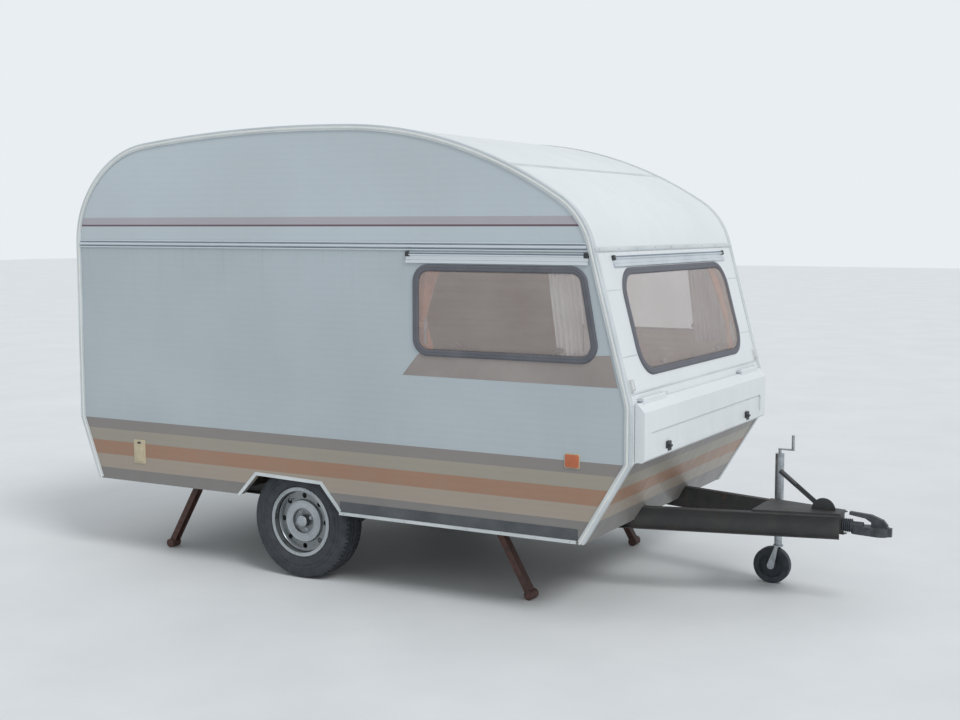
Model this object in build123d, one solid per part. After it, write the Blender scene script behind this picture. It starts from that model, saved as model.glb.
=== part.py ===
from build123d import *
import os
from math import atan2, cos, degrees, hypot, radians, sin, tan

os.makedirs("parts", exist_ok=True)

# A small single-axle touring caravan. Sizes in mm. X runs forward to the coupling, Y to the nearside
# (the door side) and Z up from the road. Places along X are measured from the wheels' axis while
# the pieces are made, and each piece is moved so that the whole stands centred over the origin.

# Reach ahead of the wheels' axis and behind it
nose_reach = 1992.0
rear_reach = 1568.0
coupling_ahead = 1018.0
lamp_stand = 32.0
coupling_reach = nose_reach + coupling_ahead
lamp_reach = rear_reach + lamp_stand
middle = (coupling_reach - lamp_reach) / 2

# Body shell
body_width = 2000.0
wall = 30.0
shoulder_height = 1843.0
nose_top_height = 1099.6
knee_height = 811.0
rear_tuck = 136.0
rear_foot_height = 450.0
nose_foot_height = 403.0
nose_bottom_height = 810.0
rake = 15.0
undercut = 31.0
half = body_width / 2
inner_half = half - wall

# Roof line forward from the rear shoulder: radius and turn of each tangent arc. The crown's radius
# follows from the body's length, and the brow turns by what is left before the rake of the front.
shoulder_radius, shoulder_turn = 526.5, 28.9
quarter_radius, quarter_turn = 631.0, 54.4
crown_turn = 8.8
front_radius, front_turn = 2394.6, 30.6
brow_radius = 407.6
brow_turn = 180 - rake - shoulder_turn - quarter_turn - crown_turn - front_turn

# Floor and chassis
floor_bottom = 475.0
floor_thick = 40.0
floor_top = floor_bottom + floor_thick
rail_depth = 120.0
rail_width = 40.0
rail_web = 5.0
rail_inset = 450.0
rail_spread = half - rail_inset
rail_rear_inset = 188.0
rail_rear = rail_rear_inset - rear_reach
bend_back = 1092.0
rail_bend = nose_reach - bend_back
drawbar_back = 250.0
drawbar_end = coupling_reach - drawbar_back
drawbar_spread = 62.0
rail_bottom = floor_bottom - rail_depth
rail_notch_gap = 4.0
member_thick = 40.0
member_inset = 40.0
member_middle = -640.0
member_rise = 20.0

# Wheels: 175 mm tyres on 14 inch rims
tyre_radius = 318.0
tyre_width = 175.0
wheel_inset = 138.0
wheel_place = half - wheel_inset
seat_radius = 178.0
flange_radius = 195.0
seat_half = 68.0
flange_thick = 5.0
flange_stand = 6.0
barrel_wall = 5.0
well_radius = 168.0
well_front = 34.0
well_back = 24.0
disc_front = 34.0
nave_radius = 66.0
ridge_stand = 16.0
disc_holes = 8
disc_hole_radius = 15.0
disc_hole_ring = 142.0
hub_bore = 34.0
tyre_gap = 0.3
shoulder_depth = 30.0
shoulder_width = 13.0
tread_drop = 13.0
tread_half = 67.0

# Brake drum, hub and the stub it turns on
drum_radius = 112.0
drum_depth = 70.0
drum_back = 98.0
hub_radius = 62.0
hub_cap_end = 62.0
stub_radius = 16.0
stub_out = 20.0
pin_gap = 0.05
seat_gap = 0.3

# Wheel arch, in the side: front and rear corners, and the box inside it
arch_outline = [(-371.0, 438.0), (-250.0, 568.0), (184.0, 556.0), (309.0, 414.0)]
arch_drop = 60.0
box_half_length = 385.0
box_depth = 285.0
box_inner = half - box_depth
box_top = 712.0
box_sheet = 12.0

# Windows: outer edges of the seals
seal_width = 35.0
seal_lap = 18.0
seal_stand = 10.0
pane_thick = 6.0
pane_stand = 2.0
side_window_rear = 780.0
side_window_inset = 154.0
side_window_lean = 86.0
side_window_low = 1288.0
side_window_high = 1758.0
side_corner = 90.0
front_window_inset = 225.0
front_window_half = half - front_window_inset
front_window_low = 1215.0
front_window_high = 1745.0
front_corner = 150.0
rear_window_inset = 400.0
rear_window_half = half - rear_window_inset
rear_window_low = 1320.0
rear_window_high = 1758.0
rear_corner = 80.0
hinge_rail_depth = 20.0
hinge_rail_stand = 14.0
hinge_rail_rise = 43.0
hinge_rail_over = 38.0
hinge_rail_lead = 16.0
front_rail_over = 35.0
rear_rail_over = 20.0
rear_rail_rise = 20.0

# Edge mouldings and rails on the sides
edge_width = 28.0
edge_stand = 6.0
edge_lap = 4.0
belt_height = 1850.0
belt_depth = 44.0
belt_stand = 14.0
belt_door_gap = 30.0
sill_depth = 16.0
sill_stand = 12.0
sill_gap = 4.0
sill_strip_top = 475.0
sill_strip_stand = 3.0
arch_trim_width = 18.0
arch_trim_stand = 6.0

# Marker lamps at the front, above the locker
marker_inset = 34.0
marker_height = 1190.0
marker_width = 38.0
marker_tall = 64.0
marker_stand = 20.0

# Side reflectors, rear lamps and the inlet hatch
reflector_inset = 262.0
reflector_length = 82.0
reflector_low = 775.0
reflector_high = 847.0
reflector_stand = 8.0
rear_lamp_inset = 60.0
rear_lamp_width = 340.0
rear_lamp_low = 830.0
rear_lamp_high = 930.0
hatch_inset = 411.0
hatch_width = 87.0
hatch_low = 562.0
hatch_high = 702.0
hatch_stand = 10.0
hatch_slot_width = 20.0
hatch_slot_inset = 17.0
hatch_slot_end = 28.0
hatch_slot_depth = 6.0

# Entrance door, behind the axle on the nearside
door_front = -440.0
door_width = 580.0
door_rear = door_front - door_width
door_bottom = 500.0
door_top = 2190.0
door_corner = 60.0
door_gap = 6.0
door_trim_width = 25.0
door_hinge_stand = 10.0
door_hinge_radius = 6.0
door_hinge_tall = 70.0
door_hinge_foot = 200.0
door_hinge_head = 190.0
door_hinge_low = door_bottom + door_hinge_foot
door_hinge_high = door_top - door_hinge_head
door_hinge_rows = [door_hinge_low, (door_hinge_low + door_hinge_high) / 2, door_hinge_high]
door_strap = 60.0
door_strap_thick = 4.0
door_window_half = 170.0
door_window_low = 1350.0
door_window_high = 1740.0
door_window_corner = 50.0

# Gas locker in the nose
lid_inset = 50.0
lid_bottom = 820.0
lid_top = 1106.0
lid_stand = 50.0
lid_gap = 3.0
lid_wall = 6.0
lid_slope = 43.0
lid_lip = 10.0
lid_chamfer = 12.0
lid_front_wall = 20.0
pocket_inset = 90.0
pocket_low = 850.0
pocket_high = 960.0
pocket_corner = 20.0
pocket_depth = 10.0
lid_hinge_stand = 14.0
lid_hinge_rise = 14.0
lid_hinge_length = 300.0
lid_hinge_inset = 60.0
lid_barrel_radius = 8.0
lid_rod_radius = 4.0
lid_bracket_width = 20.0
lid_bracket_gap = 1.0
lid_bracket_thick = 10.0
lid_hinge_x = nose_reach + lid_hinge_stand
lid_hinge_z = lid_top + lid_hinge_rise
locker_low = 850.0
locker_high = 1078.0
locker_inset = 110.0
tub_depth = 300.0
tub_sheet = 12.0
tub_bottom = 640.0

# Roof vent
vent_place = -650.0
vent_size = 400.0
vent_wall = 25.0
vent_stand = 17.5
vent_sink = 130.0
vent_lid_thick = 30.0
vent_lid_chamfer = 18.0
vent_lap = 15.0

# Axle
beam_place = 160.0
beam_radius = 40.0
arm_width = 40.0
arm_out = 232.0
arm_beam_boss = 46.0
arm_hub_boss = 34.0
collar_radius = 30.0
back_plate_inset = 103.0
back_plate_thick = 4.0
back_plate_lip = 6.0
beam_half = wheel_place - arm_out - arm_width
beam_height = rail_bottom - beam_radius

# Corner steadies: distance from the nose or the rear, the side, and the way the foot points
steady_front_inset = 912.0
steady_rear_inset = 668.0
steady_front = nose_reach - steady_front_inset
steady_rear = steady_rear_inset - rear_reach
steady_rows = [("left_front", steady_front, 1, 1), ("left_rear", steady_rear, 1, -1),
               ("right_front", steady_front, -1, 1), ("right_rear", steady_rear, -1, -1)]
steady_inset = 300.0
steady_spread = half - steady_inset
steady_pivot_height = 436.0
steady_lean = 60.0
steady_width = 50.0
steady_depth = 36.0
steady_sheet = 4.0
steady_heel = 18.0
steady_foot_radius = 26.0
steady_foot_width = 70.0
steady_length = (steady_pivot_height - steady_foot_radius) / sin(radians(steady_lean))
steady_pin_radius = 7.0
cheek_length = 60.0
cheek_drop = 20.0
cheek_thick = 6.0
cheek_gap = 1.0
bracket_top = 5.0

# Drawbar plate, overrun housing and coupling head
plate_thick = 10.0
plate_back = 680.0
plate_spread = 170.0
housing_length = 180.0
housing_half = 42.0
housing_foot_half = 30.0
housing_bottom = 384.0
tube_radius = 24.0
tube_height = 418.0
socket_radius = 25.2
socket_bottom = 380.0
socket_wall = 30.0
socket_roof = 14.0
socket_inset = 62.0
head_radius = 50.0
head_neck = 112.0
head_neck_radius = 30.0
handle_half = 14.0
coupling_place = coupling_reach - socket_inset

# Handbrake on the plate: sector, lever and grip
brake_back = 350.0
sector_radius = 62.0
sector_thick = 8.0
lever_lean = 52.0
lever_length = 300.0
lever_width = 24.0
lever_thick = 10.0
grip_length = 110.0
grip_radius = 13.0

# Jockey wheel
jockey_back = 660.0
jockey_place = coupling_reach - jockey_back
jockey_offset = 80.0
jockey_tube_radius = 24.0
jockey_bore = 21.05
jockey_stem_radius = 21.0
jockey_stem_top = 550.0
jockey_tube_low = 390.0
jockey_tube_high = 720.0
jockey_cap = 10.0
clamp_low = 395.0
clamp_high = 455.0
clamp_radius = 34.0
clamp_half = 30.0
crank_reach = 72.0
crank_height = 24.0
crank_bar = 8.0
crank_grip = 80.0
jockey_radius = 100.0
jockey_width = 44.0
jockey_hub_width = 50.0
jockey_hub_radius = 28.0
jockey_web_half = 9.0
jockey_felly = 68.0
jockey_trail = 30.0
jockey_crown = 215.0
jockey_pin_radius = 8.0
fork_gap = 6.0
fork_sheet = 5.0
fork_foot = 20.0
fork_head = 9.0

# Furniture: rear and front of each bench, and its side
bench_depth = 600.0
bench_height = 335.0
cushion_thick = 100.0
back_rest_tall = 290.0
back_rest_thick = 110.0
bench_end_gap = 8.0
bench_front_inset = 352.0
front_bench_rear = 640.0
front_bench_front = nose_reach - bench_front_inset
rear_bench_front = -1060.0
bench_rows = [(front_bench_rear, front_bench_front, 1), (front_bench_rear, front_bench_front, -1),
              (wall + bench_end_gap - rear_reach, rear_bench_front, 1)]
wardrobe_rear = -60.0
wardrobe_front = 480.0
wardrobe_depth = 540.0
wardrobe_top = 2150.0
kitchen_front = -480.0
kitchen_rear = wall + bench_end_gap - rear_reach
kitchen_depth = 540.0
worktop_height = 760.0
ply = 15.0

# Curtains
curtain_lap = 40.0
curtain_width = 190.0
curtain_back = 0.3
curtain_fold = 30.0


def write(node, *solids):
    """One sub-part, its solids moved so that the caravan's middle is over the origin."""
    placed = [Pos(-middle, 0, 0) * solid for solid in solids]
    export_step(placed[0] if len(placed) == 1 else Compound(placed), f"parts/{node}.step")


def nearside(shape):
    """The same shape on the other side of the caravan."""
    return mirror(shape, Plane.XZ)


def across(face, low, high):
    """A face drawn in X and Z, carried over a stretch of Y."""
    return extrude(Plane(origin=(0, high, 0), x_dir=(1, 0, 0), z_dir=(0, -1, 0)) * face, high - low)


def upright(points, low, high):
    """A plan outline in X and Y, carried over a stretch of Z."""
    return extrude(Pos(0, 0, low) * make_face(Polyline(*points, close=True)), high - low)


def block(x_low, x_high, y_low, y_high, z_low, z_high):
    """A plain block from its limits."""
    size = (x_high - x_low, y_high - y_low, z_high - z_low)
    centre = ((x_low + x_high) / 2, (y_low + y_high) / 2, (z_low + z_high) / 2)
    return Pos(*centre) * Box(*size)


def offset_line(points, inset):
    """An open run of straight lines moved sideways to the right of its travel, corners mitred."""
    normals = []
    for (x0, z0), (x1, z1) in zip(points, points[1:]):
        length = hypot(x1 - x0, z1 - z0)
        normals.append(((z1 - z0) / length, -(x1 - x0) / length))
    moved = []
    for i, (x, z) in enumerate(points):
        a = normals[max(i - 1, 0)]
        b = normals[min(i, len(normals) - 1)]
        share = inset / (1 + a[0] * b[0] + a[1] * b[1])
        moved.append((x + (a[0] + b[0]) * share, z + (a[1] + b[1]) * share))
    return moved


def arc_chain(start, heading, rows, inset):
    """Start, middle and end of each arc of a chain that turns right, moved inwards by inset."""
    x, z = start
    made = []
    for radius, turn in rows:
        right = radians(heading - 90)
        centre = (x + radius * cos(right), z + radius * sin(right))
        stops = []
        for part in (0.0, 0.5, 1.0):
            angle = radians(heading + 90 - turn * part)
            stops.append((centre[0] + (radius - inset) * cos(angle), centre[1] + (radius - inset) * sin(angle)))
        made.append(stops)
        angle = radians(heading + 90 - turn)
        x, z = centre[0] + radius * cos(angle), centre[1] + radius * sin(angle)
        heading -= turn
    return made


def carried(radius, heading, turn):
    """How far one arc of the roof carries it towards the line of the raked front."""
    start, end = radians(heading), radians(heading - turn)
    return radius * (sin(start) - sin(end) + (cos(end) - cos(start)) * tan(radians(rake)))


# The crown's radius closes the roof line on the raked front
quarter_heading = 90 - shoulder_turn
crown_heading = quarter_heading - quarter_turn
front_heading = crown_heading - crown_turn
roof_reach = nose_reach + rear_reach + (nose_top_height - shoulder_height) * tan(radians(rake))
crown_reach = (roof_reach - carried(shoulder_radius, 90, shoulder_turn)
               - carried(quarter_radius, quarter_heading, quarter_turn)
               - carried(front_radius, front_heading, front_turn)
               - carried(brow_radius, front_heading - front_turn, brow_turn))
crown_radius = crown_reach / carried(1.0, crown_heading, crown_turn)
roof_rows = [(shoulder_radius, shoulder_turn), (quarter_radius, quarter_turn), (crown_radius, crown_turn),
             (front_radius, front_turn), (brow_radius, brow_turn)]

# The body's outline, from the rear foot over the roof to the front foot
rear_foot_reach = rear_reach - rear_tuck
rear_line = [(-rear_foot_reach, rear_foot_height), (-rear_reach, knee_height), (-rear_reach, shoulder_height)]
brow = arc_chain(rear_line[-1], 90, roof_rows, 0)[-1][-1]
nose_foot_reach = nose_reach - (nose_bottom_height - nose_foot_height) * tan(radians(undercut))
front_line = [brow, (nose_reach, nose_top_height), (nose_reach, nose_bottom_height),
              (nose_foot_reach, nose_foot_height)]


def outline_edges(inset, stretch):
    """Edges of one stretch of the outline, moved inwards, with its first and last points."""
    edges = []
    ends = []
    if "rear" in stretch:
        points = offset_line(rear_line, inset)
        edges += [Line(a, b) for a, b in zip(points, points[1:])]
        ends += [points[0], points[-1]]
    if "roof" in stretch:
        arcs = arc_chain(rear_line[-1], 90, roof_rows, inset)
        edges += [ThreePointArc(*stops) for stops in arcs]
        ends += [arcs[0][0], arcs[-1][-1]]
    if "front" in stretch:
        points = offset_line(front_line, inset)
        edges += [Line(a, b) for a, b in zip(points, points[1:])]
        ends += [points[0], points[-1]]
    return edges, ends[0], ends[-1]


def outline_band(outer, inner, stretch):
    """The face between two insets of the outline, closed at both ends."""
    out_edges, out_first, out_last = outline_edges(outer, stretch)
    in_edges, in_first, in_last = outline_edges(inner, stretch)
    return make_face(out_edges + in_edges + [Line(out_first, in_first), Line(out_last, in_last)])


def outline_face(inset):
    """The whole side face, its bottom edge stepped at the wheel arch."""
    edges, first, last = outline_edges(inset, "rear roof front")
    step = arch_outline[1][0]
    bottom = Polyline(last, (step, last[1]), (step, first[1]), first)
    return make_face(edges + bottom.edges())


def inner_space(inset):
    """The room between the side walls, at an inset from the outline."""
    edges, first, last = outline_edges(inset, "rear roof front")
    return across(make_face(edges + [Line(last, first)]), -inner_half, inner_half)


def rounded(points, radius):
    """A closed outline with every corner rounded."""
    shape = Sketch() + make_face(Polyline(*points, close=True))
    return fillet(shape.vertices(), radius)


def rect_points(x_half, z_low, z_high):
    """Corners of a rectangle about the middle line."""
    return [(-x_half, z_low), (x_half, z_low), (x_half, z_high), (-x_half, z_high)]


def grown(shape, amount):
    """An outline made larger, or smaller by a negative amount, with its corners still round."""
    return offset(shape, amount, kind=Kind.ARC)


def link_face(first, first_radius, last, last_radius):
    """Two circles and the belt round them."""
    circles = (Pos(*first) * Circle(first_radius)).edges() + (Pos(*last) * Circle(last_radius)).edges()
    return make_hull(circles)


def on_plane(plane, shape, low, high):
    """A face drawn on a wall's plane, thick from low to high above the wall."""
    return extrude(plane.offset(low) * shape, high - low)


# The walls' planes. Each window is drawn on its own wall, with its second axis up the wall.
side_plane = Plane(origin=(0, -half, 0), x_dir=(1, 0, 0), z_dir=(0, -1, 0))
rear_plane = Plane(origin=(-rear_reach, 0, 0), x_dir=(0, -1, 0), z_dir=(-1, 0, 0))
rake_normal = (cos(radians(rake)), 0, sin(radians(rake)))
front_plane = Plane(origin=(nose_reach, 0, nose_top_height), x_dir=(0, 1, 0), z_dir=rake_normal)


def up_rake(height):
    """Distance up the raked front from the nose to a height above the road."""
    return (height - nose_top_height) / cos(radians(rake))


# Side window: upright at the rear and leaning with the raked front
side_window_front = nose_reach - side_window_inset
side_window = [(side_window_rear, side_window_low), (side_window_front, side_window_low),
               (side_window_front - side_window_lean, side_window_high), (side_window_rear, side_window_high)]
side_seal_face = rounded(side_window, side_corner)
front_seal_face = rounded(rect_points(front_window_half, up_rake(front_window_low), up_rake(front_window_high)),
                          front_corner)
rear_seal_face = rounded(rect_points(rear_window_half, rear_window_low, rear_window_high), rear_corner)


def window_cut(plane, face):
    """The hole in the wall, under the seal."""
    return on_plane(plane, grown(face, -seal_lap), -2 * wall, wall)


def window_seal(plane, face):
    """The rubber frame on the wall, lapped over the edge of the hole."""
    return on_plane(plane, face - grown(face, -seal_width), 0, seal_stand)


def window_pane(plane, face):
    """The acrylic pane within its seal."""
    return on_plane(plane, grown(face, -seal_width), pane_stand, pane_stand + pane_thick)


# Arch cut, through a side wall
arch_rear, arch_front = arch_outline[0], arch_outline[-1]
arch_cut_points = ([(arch_rear[0] - arch_drop, arch_rear[1] - arch_drop)] + arch_outline
                   + [(arch_front[0] + arch_drop, arch_front[1] - arch_drop)])
arch_cut_face = make_face(Polyline(*arch_cut_points, close=True))


def side_wall():
    """Offside wall: the whole profile with its window and wheel arch cut."""
    body = across(outline_face(0), -half, -inner_half)
    body -= window_cut(side_plane, side_seal_face)
    body -= across(arch_cut_face, -half - wall, -inner_half + wall)
    return body


door_face = rounded([(door_rear, door_bottom), (door_front, door_bottom), (door_front, door_top),
                     (door_rear, door_top)], door_corner)
door_middle = (door_rear + door_front) / 2
door_seal_face = Pos(door_middle, 0) * rounded(rect_points(door_window_half, door_window_low, door_window_high),
                                               door_window_corner)

right_wall = side_wall()
left_wall = nearside(right_wall)
left_wall -= nearside(on_plane(side_plane, door_face, -2 * wall, wall))
write("side_wall_right", right_wall)
write("side_wall_left", left_wall)

# Roof, rear wall and front wall lie between the side walls
write("roof", across(outline_band(0, wall, "roof"), -inner_half, inner_half))

rear_wall = across(outline_band(0, wall, "rear"), -inner_half, inner_half)
rear_wall -= window_cut(rear_plane, rear_seal_face)
write("rear_wall", rear_wall)

# Chassis rails, bent in to the coupling: middle line of the nearside one, in X and Y
rail_outline = [(rail_rear, rail_spread), (rail_bend, rail_spread), (drawbar_end, drawbar_spread)]


def rail_band(outer, inner, low, high):
    """A stretch of one rail's plan, between two distances outboard of its middle line."""
    first = offset_line(rail_outline, -outer)
    last = offset_line(rail_outline, -inner)
    return upright(first + last[::-1], low, high)


rail_half = rail_width / 2
rail_left = rail_band(rail_half, -rail_half, rail_bottom, floor_bottom)
rail_left -= rail_band(rail_width, -rail_half + rail_web, rail_bottom + rail_web, floor_bottom - rail_web)
rail_notch = rail_band(rail_half + rail_notch_gap, -rail_half - rail_notch_gap, rail_bottom - rail_depth,
                       floor_bottom)

front_wall = across(outline_band(0, wall, "front"), -inner_half, inner_half)
front_wall -= window_cut(front_plane, front_seal_face)
front_wall -= block(nose_reach - 2 * wall, nose_reach + wall, -half + locker_inset, half - locker_inset,
                    locker_low, locker_high)
front_wall -= rail_notch
front_wall -= nearside(rail_notch)
write("front_wall", front_wall)

# Floor, fitted inside the walls and cut out for the wheels
floor = block(-rear_reach, nose_reach, -inner_half, inner_half, floor_bottom, floor_top) & inner_space(wall)
for side in (-1, 1):
    low, high = sorted((side * box_inner, side * half))
    floor -= block(-box_half_length, box_half_length, low, high, floor_bottom - wall, floor_top + wall)
write("floor", floor)


def wheel_box():
    """Offside wheel box: a sheet hood over the wheel, open below and to the side."""
    hood = block(-box_half_length, box_half_length, -inner_half, -box_inner, floor_bottom, box_top)
    hood -= block(-box_half_length + box_sheet, box_half_length - box_sheet, -half, -box_inner - box_sheet,
                  floor_bottom - wall, box_top - box_sheet)
    return hood


write("wheel_boxes", wheel_box(), nearside(wheel_box()))

write("chassis_rails", rail_left, nearside(rail_left))

# Cross members between the rails' webs
rail_inner = rail_spread - rail_half
member_half = member_thick / 2
members = [block(place - member_half, place + member_half, -rail_inner, rail_inner,
                 rail_bottom + member_rise, floor_bottom)
           for place in (rail_rear + member_inset, member_middle, rail_bend - 1.5 * member_inset)]
write("cross_members", *members)

# Axle beam under the rails, with an arm at each end that carries the wheel
beam = Pos(beam_place, 0, beam_height) * Rot(X=90) * Cylinder(beam_radius, 2 * beam_half)
write("axle_beam", beam)


def along_axle(radius, low, high):
    """A round piece about the wheels' axis, over a stretch of Y."""
    return Pos(0, (low + high) / 2, tyre_radius) * Rot(X=90) * Cylinder(radius, high - low)


def stub_arm():
    """Nearside trailing arm, the stub axle at its end and the brake's back plate."""
    arm_face = link_face((beam_place, beam_height), arm_beam_boss, (0, tyre_radius), arm_hub_boss)
    arm_outer = beam_half + arm_width
    plate_outer = wheel_place - back_plate_inset
    arm = across(arm_face, beam_half, arm_outer)
    collar = along_axle(collar_radius, arm_outer, plate_outer)
    plate = along_axle(drum_radius + back_plate_lip, plate_outer - back_plate_thick, plate_outer)
    stub = along_axle(stub_radius, arm_outer, wheel_place + stub_out)
    return arm + collar + plate + stub


write("stub_arms", stub_arm(), nearside(stub_arm()))


def turned(points):
    """A closed outline of radius and axial place, turned about the wheel's axis."""
    return revolve(Plane.XZ * make_face(Polyline(*points, close=True)), Axis.Z)


def on_axle(shape):
    """A wheel piece, made about Z with its outside up, put on the nearside axle."""
    return Pos(0, wheel_place, tyre_radius) * Rot(X=-90) * shape


def rim():
    """Steel rim with flanges, bead seats and a dropped well, and a dished disc with a ring of holes."""
    flange = seat_half + flange_stand
    lip = flange + flange_thick
    inner_seat = seat_radius - barrel_wall
    inner_well = well_radius - barrel_wall
    barrel = turned([
        (flange_radius, lip), (flange_radius, flange), (seat_radius, flange), (seat_radius, well_front),
        (well_radius, well_front), (well_radius, -well_back), (seat_radius, -well_back), (seat_radius, -flange),
        (flange_radius, -flange), (flange_radius, -lip), (inner_seat, -lip), (inner_seat, -well_back - barrel_wall),
        (inner_well, -well_back - barrel_wall), (inner_well, well_front + barrel_wall),
        (inner_seat, well_front + barrel_wall), (inner_seat, lip)])
    ridge = disc_front + ridge_stand
    ring_low = disc_hole_ring - disc_hole_radius - barrel_wall
    ring_back, nave_back = ring_low - 2 * barrel_wall, nave_radius + 2 * barrel_wall
    back = disc_front - barrel_wall
    disc = turned([(inner_well, disc_front), (ring_low, disc_front), (ring_low - barrel_wall, ridge),
                   (nave_radius + barrel_wall, ridge), (nave_radius, disc_front), (hub_bore, disc_front),
                   (hub_bore, back), (nave_back, back), (nave_back, ridge - barrel_wall),
                   (ring_back, ridge - barrel_wall), (ring_back, back), (inner_well, back)])
    holes = [Rot(Z=i * 360 / disc_holes) * Pos(disc_hole_ring, 0, disc_front) * Cylinder(disc_hole_radius, 2 * wall)
             for i in range(disc_holes)]
    return barrel + (disc - holes)


def tyre():
    """Tyre on its seats: side walls proud of the flanges, bevelled shoulders and the tread."""
    side = tyre_width / 2
    seat = seat_radius + tyre_gap
    heel = seat_half + flange_stand - tyre_gap
    lip = flange_radius + tyre_gap
    upper = [(seat, heel), (lip, heel), (lip, side), (tyre_radius - shoulder_depth, side),
             (tyre_radius - tread_drop, tread_half + shoulder_width), (tyre_radius, tread_half)]
    return turned(upper + [(r, -place) for r, place in reversed(upper)])


def drum():
    """Brake drum and hub: the shell round the shoes, the flange the rim bolts to and the dust cap."""
    bore = stub_radius + pin_gap
    flange = disc_front - barrel_wall - seat_gap
    front = drum_depth - drum_back
    end = stub_out + cheek_thick
    return turned([(bore, -drum_back), (drum_radius, -drum_back), (drum_radius, front), (hub_radius, front),
                   (hub_radius, flange), (hub_bore - tyre_gap, flange), (hub_bore - tyre_gap, hub_cap_end),
                   (0, hub_cap_end), (0, end), (bore, end)])


for side, name in ((1, "left"), (-1, "right")):
    for node, made in (("rim", rim()), ("tyre", tyre()), ("drum", drum())):
        placed = on_axle(made)
        write(f"{node}_{name}", placed if side == 1 else nearside(placed))

# Windows
side_seal = window_seal(side_plane, side_seal_face)
side_pane = window_pane(side_plane, side_seal_face)
write("side_window_seals", side_seal, nearside(side_seal))
write("side_window_panes", side_pane, nearside(side_pane))
write("front_window_seal", window_seal(front_plane, front_seal_face))
write("front_window_pane", window_pane(front_plane, front_seal_face))
write("rear_window_seal", window_seal(rear_plane, rear_seal_face))
write("rear_window_pane", window_pane(rear_plane, rear_seal_face))


def hinge_rail(plane, first, last, low):
    """The rail that a window hangs from, on its wall's plane."""
    high = low + hinge_rail_depth
    face = make_face(Polyline((first, low), (last, low), (last, high), (first, high), close=True))
    return on_plane(plane, face, 0, hinge_rail_stand)


side_hinge = hinge_rail(side_plane, side_window_rear - hinge_rail_over,
                        side_window_front - side_window_lean + hinge_rail_lead, side_window_high + hinge_rail_rise)
front_rail_half = front_window_half + front_rail_over
front_hinge = hinge_rail(front_plane, -front_rail_half, front_rail_half, up_rake(front_window_high) + hinge_rail_rise)
rear_rail_half = rear_window_half + rear_rail_over
rear_hinge = hinge_rail(rear_plane, -rear_rail_half, rear_rail_half, rear_window_high + rear_rail_rise)
write("window_hinge_rails", side_hinge, nearside(side_hinge), front_hinge, rear_hinge)

# Edge mouldings, wrapped round the corner between each side and the front, roof and rear
edge = across(outline_band(-edge_lap, edge_width, "rear roof front"), -half - edge_stand, -half)
edge += across(outline_band(-edge_lap, 0, "rear roof front"), -half, -inner_half)
write("edge_mouldings", edge, nearside(edge))

# Belt rails on the sides, stopped at the door on the nearside
belt_low, belt_high = belt_height - belt_depth / 2, belt_height + belt_depth / 2
belt_slot = grown(door_face, belt_door_gap)
belt_face = make_face(Polyline((-rear_reach, belt_low), (nose_reach, belt_low), (nose_reach, belt_high),
                               (-rear_reach, belt_high), close=True))
belt_zone = outline_face(edge_width + 1) & (Sketch() + belt_face)
belt = on_plane(side_plane, belt_zone, 0, belt_stand)
belt_left = nearside(on_plane(side_plane, belt_zone - belt_slot, 0, belt_stand))
write("belt_rails", belt, *belt_left.solids())

# Sill rail and the dark strip above it, ahead of the arch
sill_rear = arch_front[0] + sill_gap
sill_top = nose_foot_height + sill_depth
sill_front = nose_foot_reach - edge_width / cos(radians(undercut)) - 1
sill = block(sill_rear, sill_front, -half - sill_stand, -half, nose_foot_height, sill_top)
strip_front = nose_foot_reach + sill_depth * tan(radians(undercut)) - edge_width - 2 * sill_gap
strip = block(sill_rear, strip_front, -half - sill_strip_stand, -half, sill_top, sill_strip_top)
strip -= across(arch_cut_face, -half - wall, -inner_half)
write("sill_rails", sill, nearside(sill))
write("sill_strips", strip, nearside(strip))

# Arch trims
arch_trim_face = make_face(Polyline(*(arch_outline + offset_line(arch_outline, -arch_trim_width)[::-1]), close=True))
arch_trim = across(arch_trim_face, -half - arch_trim_stand, -half)
arch_trim -= strip
arch_trim -= sill
write("arch_trims", arch_trim, nearside(arch_trim))

# Lamps and reflectors
reflector_front = nose_reach - reflector_inset
reflector = block(reflector_front - reflector_length, reflector_front, -half - reflector_stand, -half,
                  reflector_low, reflector_high)
write("side_reflectors", reflector, nearside(reflector))
marker_low, marker_high = up_rake(marker_height) - marker_tall / 2, up_rake(marker_height) + marker_tall / 2
marker_outer = marker_inset - half
marker_inner = marker_outer + marker_width
marker_face = make_face(Polyline((marker_outer, marker_low), (marker_inner, marker_low), (marker_inner, marker_high),
                                 (marker_outer, marker_high), close=True))
marker = on_plane(front_plane, marker_face, 0, marker_stand)
write("front_markers", marker, nearside(marker))
rear_lamp = block(-lamp_reach, -rear_reach, -half + rear_lamp_inset, -half + rear_lamp_inset + rear_lamp_width,
                  rear_lamp_low, rear_lamp_high)
write("rear_lamps", rear_lamp, nearside(rear_lamp))

# Inlet hatch low on the offside, with two finger slots
hatch_rear = hatch_inset - rear_reach
hatch_front = hatch_rear + hatch_width
hatch_face = -half - hatch_stand
hatch = block(hatch_rear, hatch_front, hatch_face, -half, hatch_low, hatch_high)
for slot_rear in (hatch_rear + hatch_slot_inset, hatch_front - hatch_slot_inset - hatch_slot_width):
    hatch -= block(slot_rear, slot_rear + hatch_slot_width, hatch_face - 1, hatch_face + hatch_slot_depth,
                   hatch_low + hatch_slot_end, hatch_high - hatch_slot_end)
write("inlet_hatch", hatch)

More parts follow.
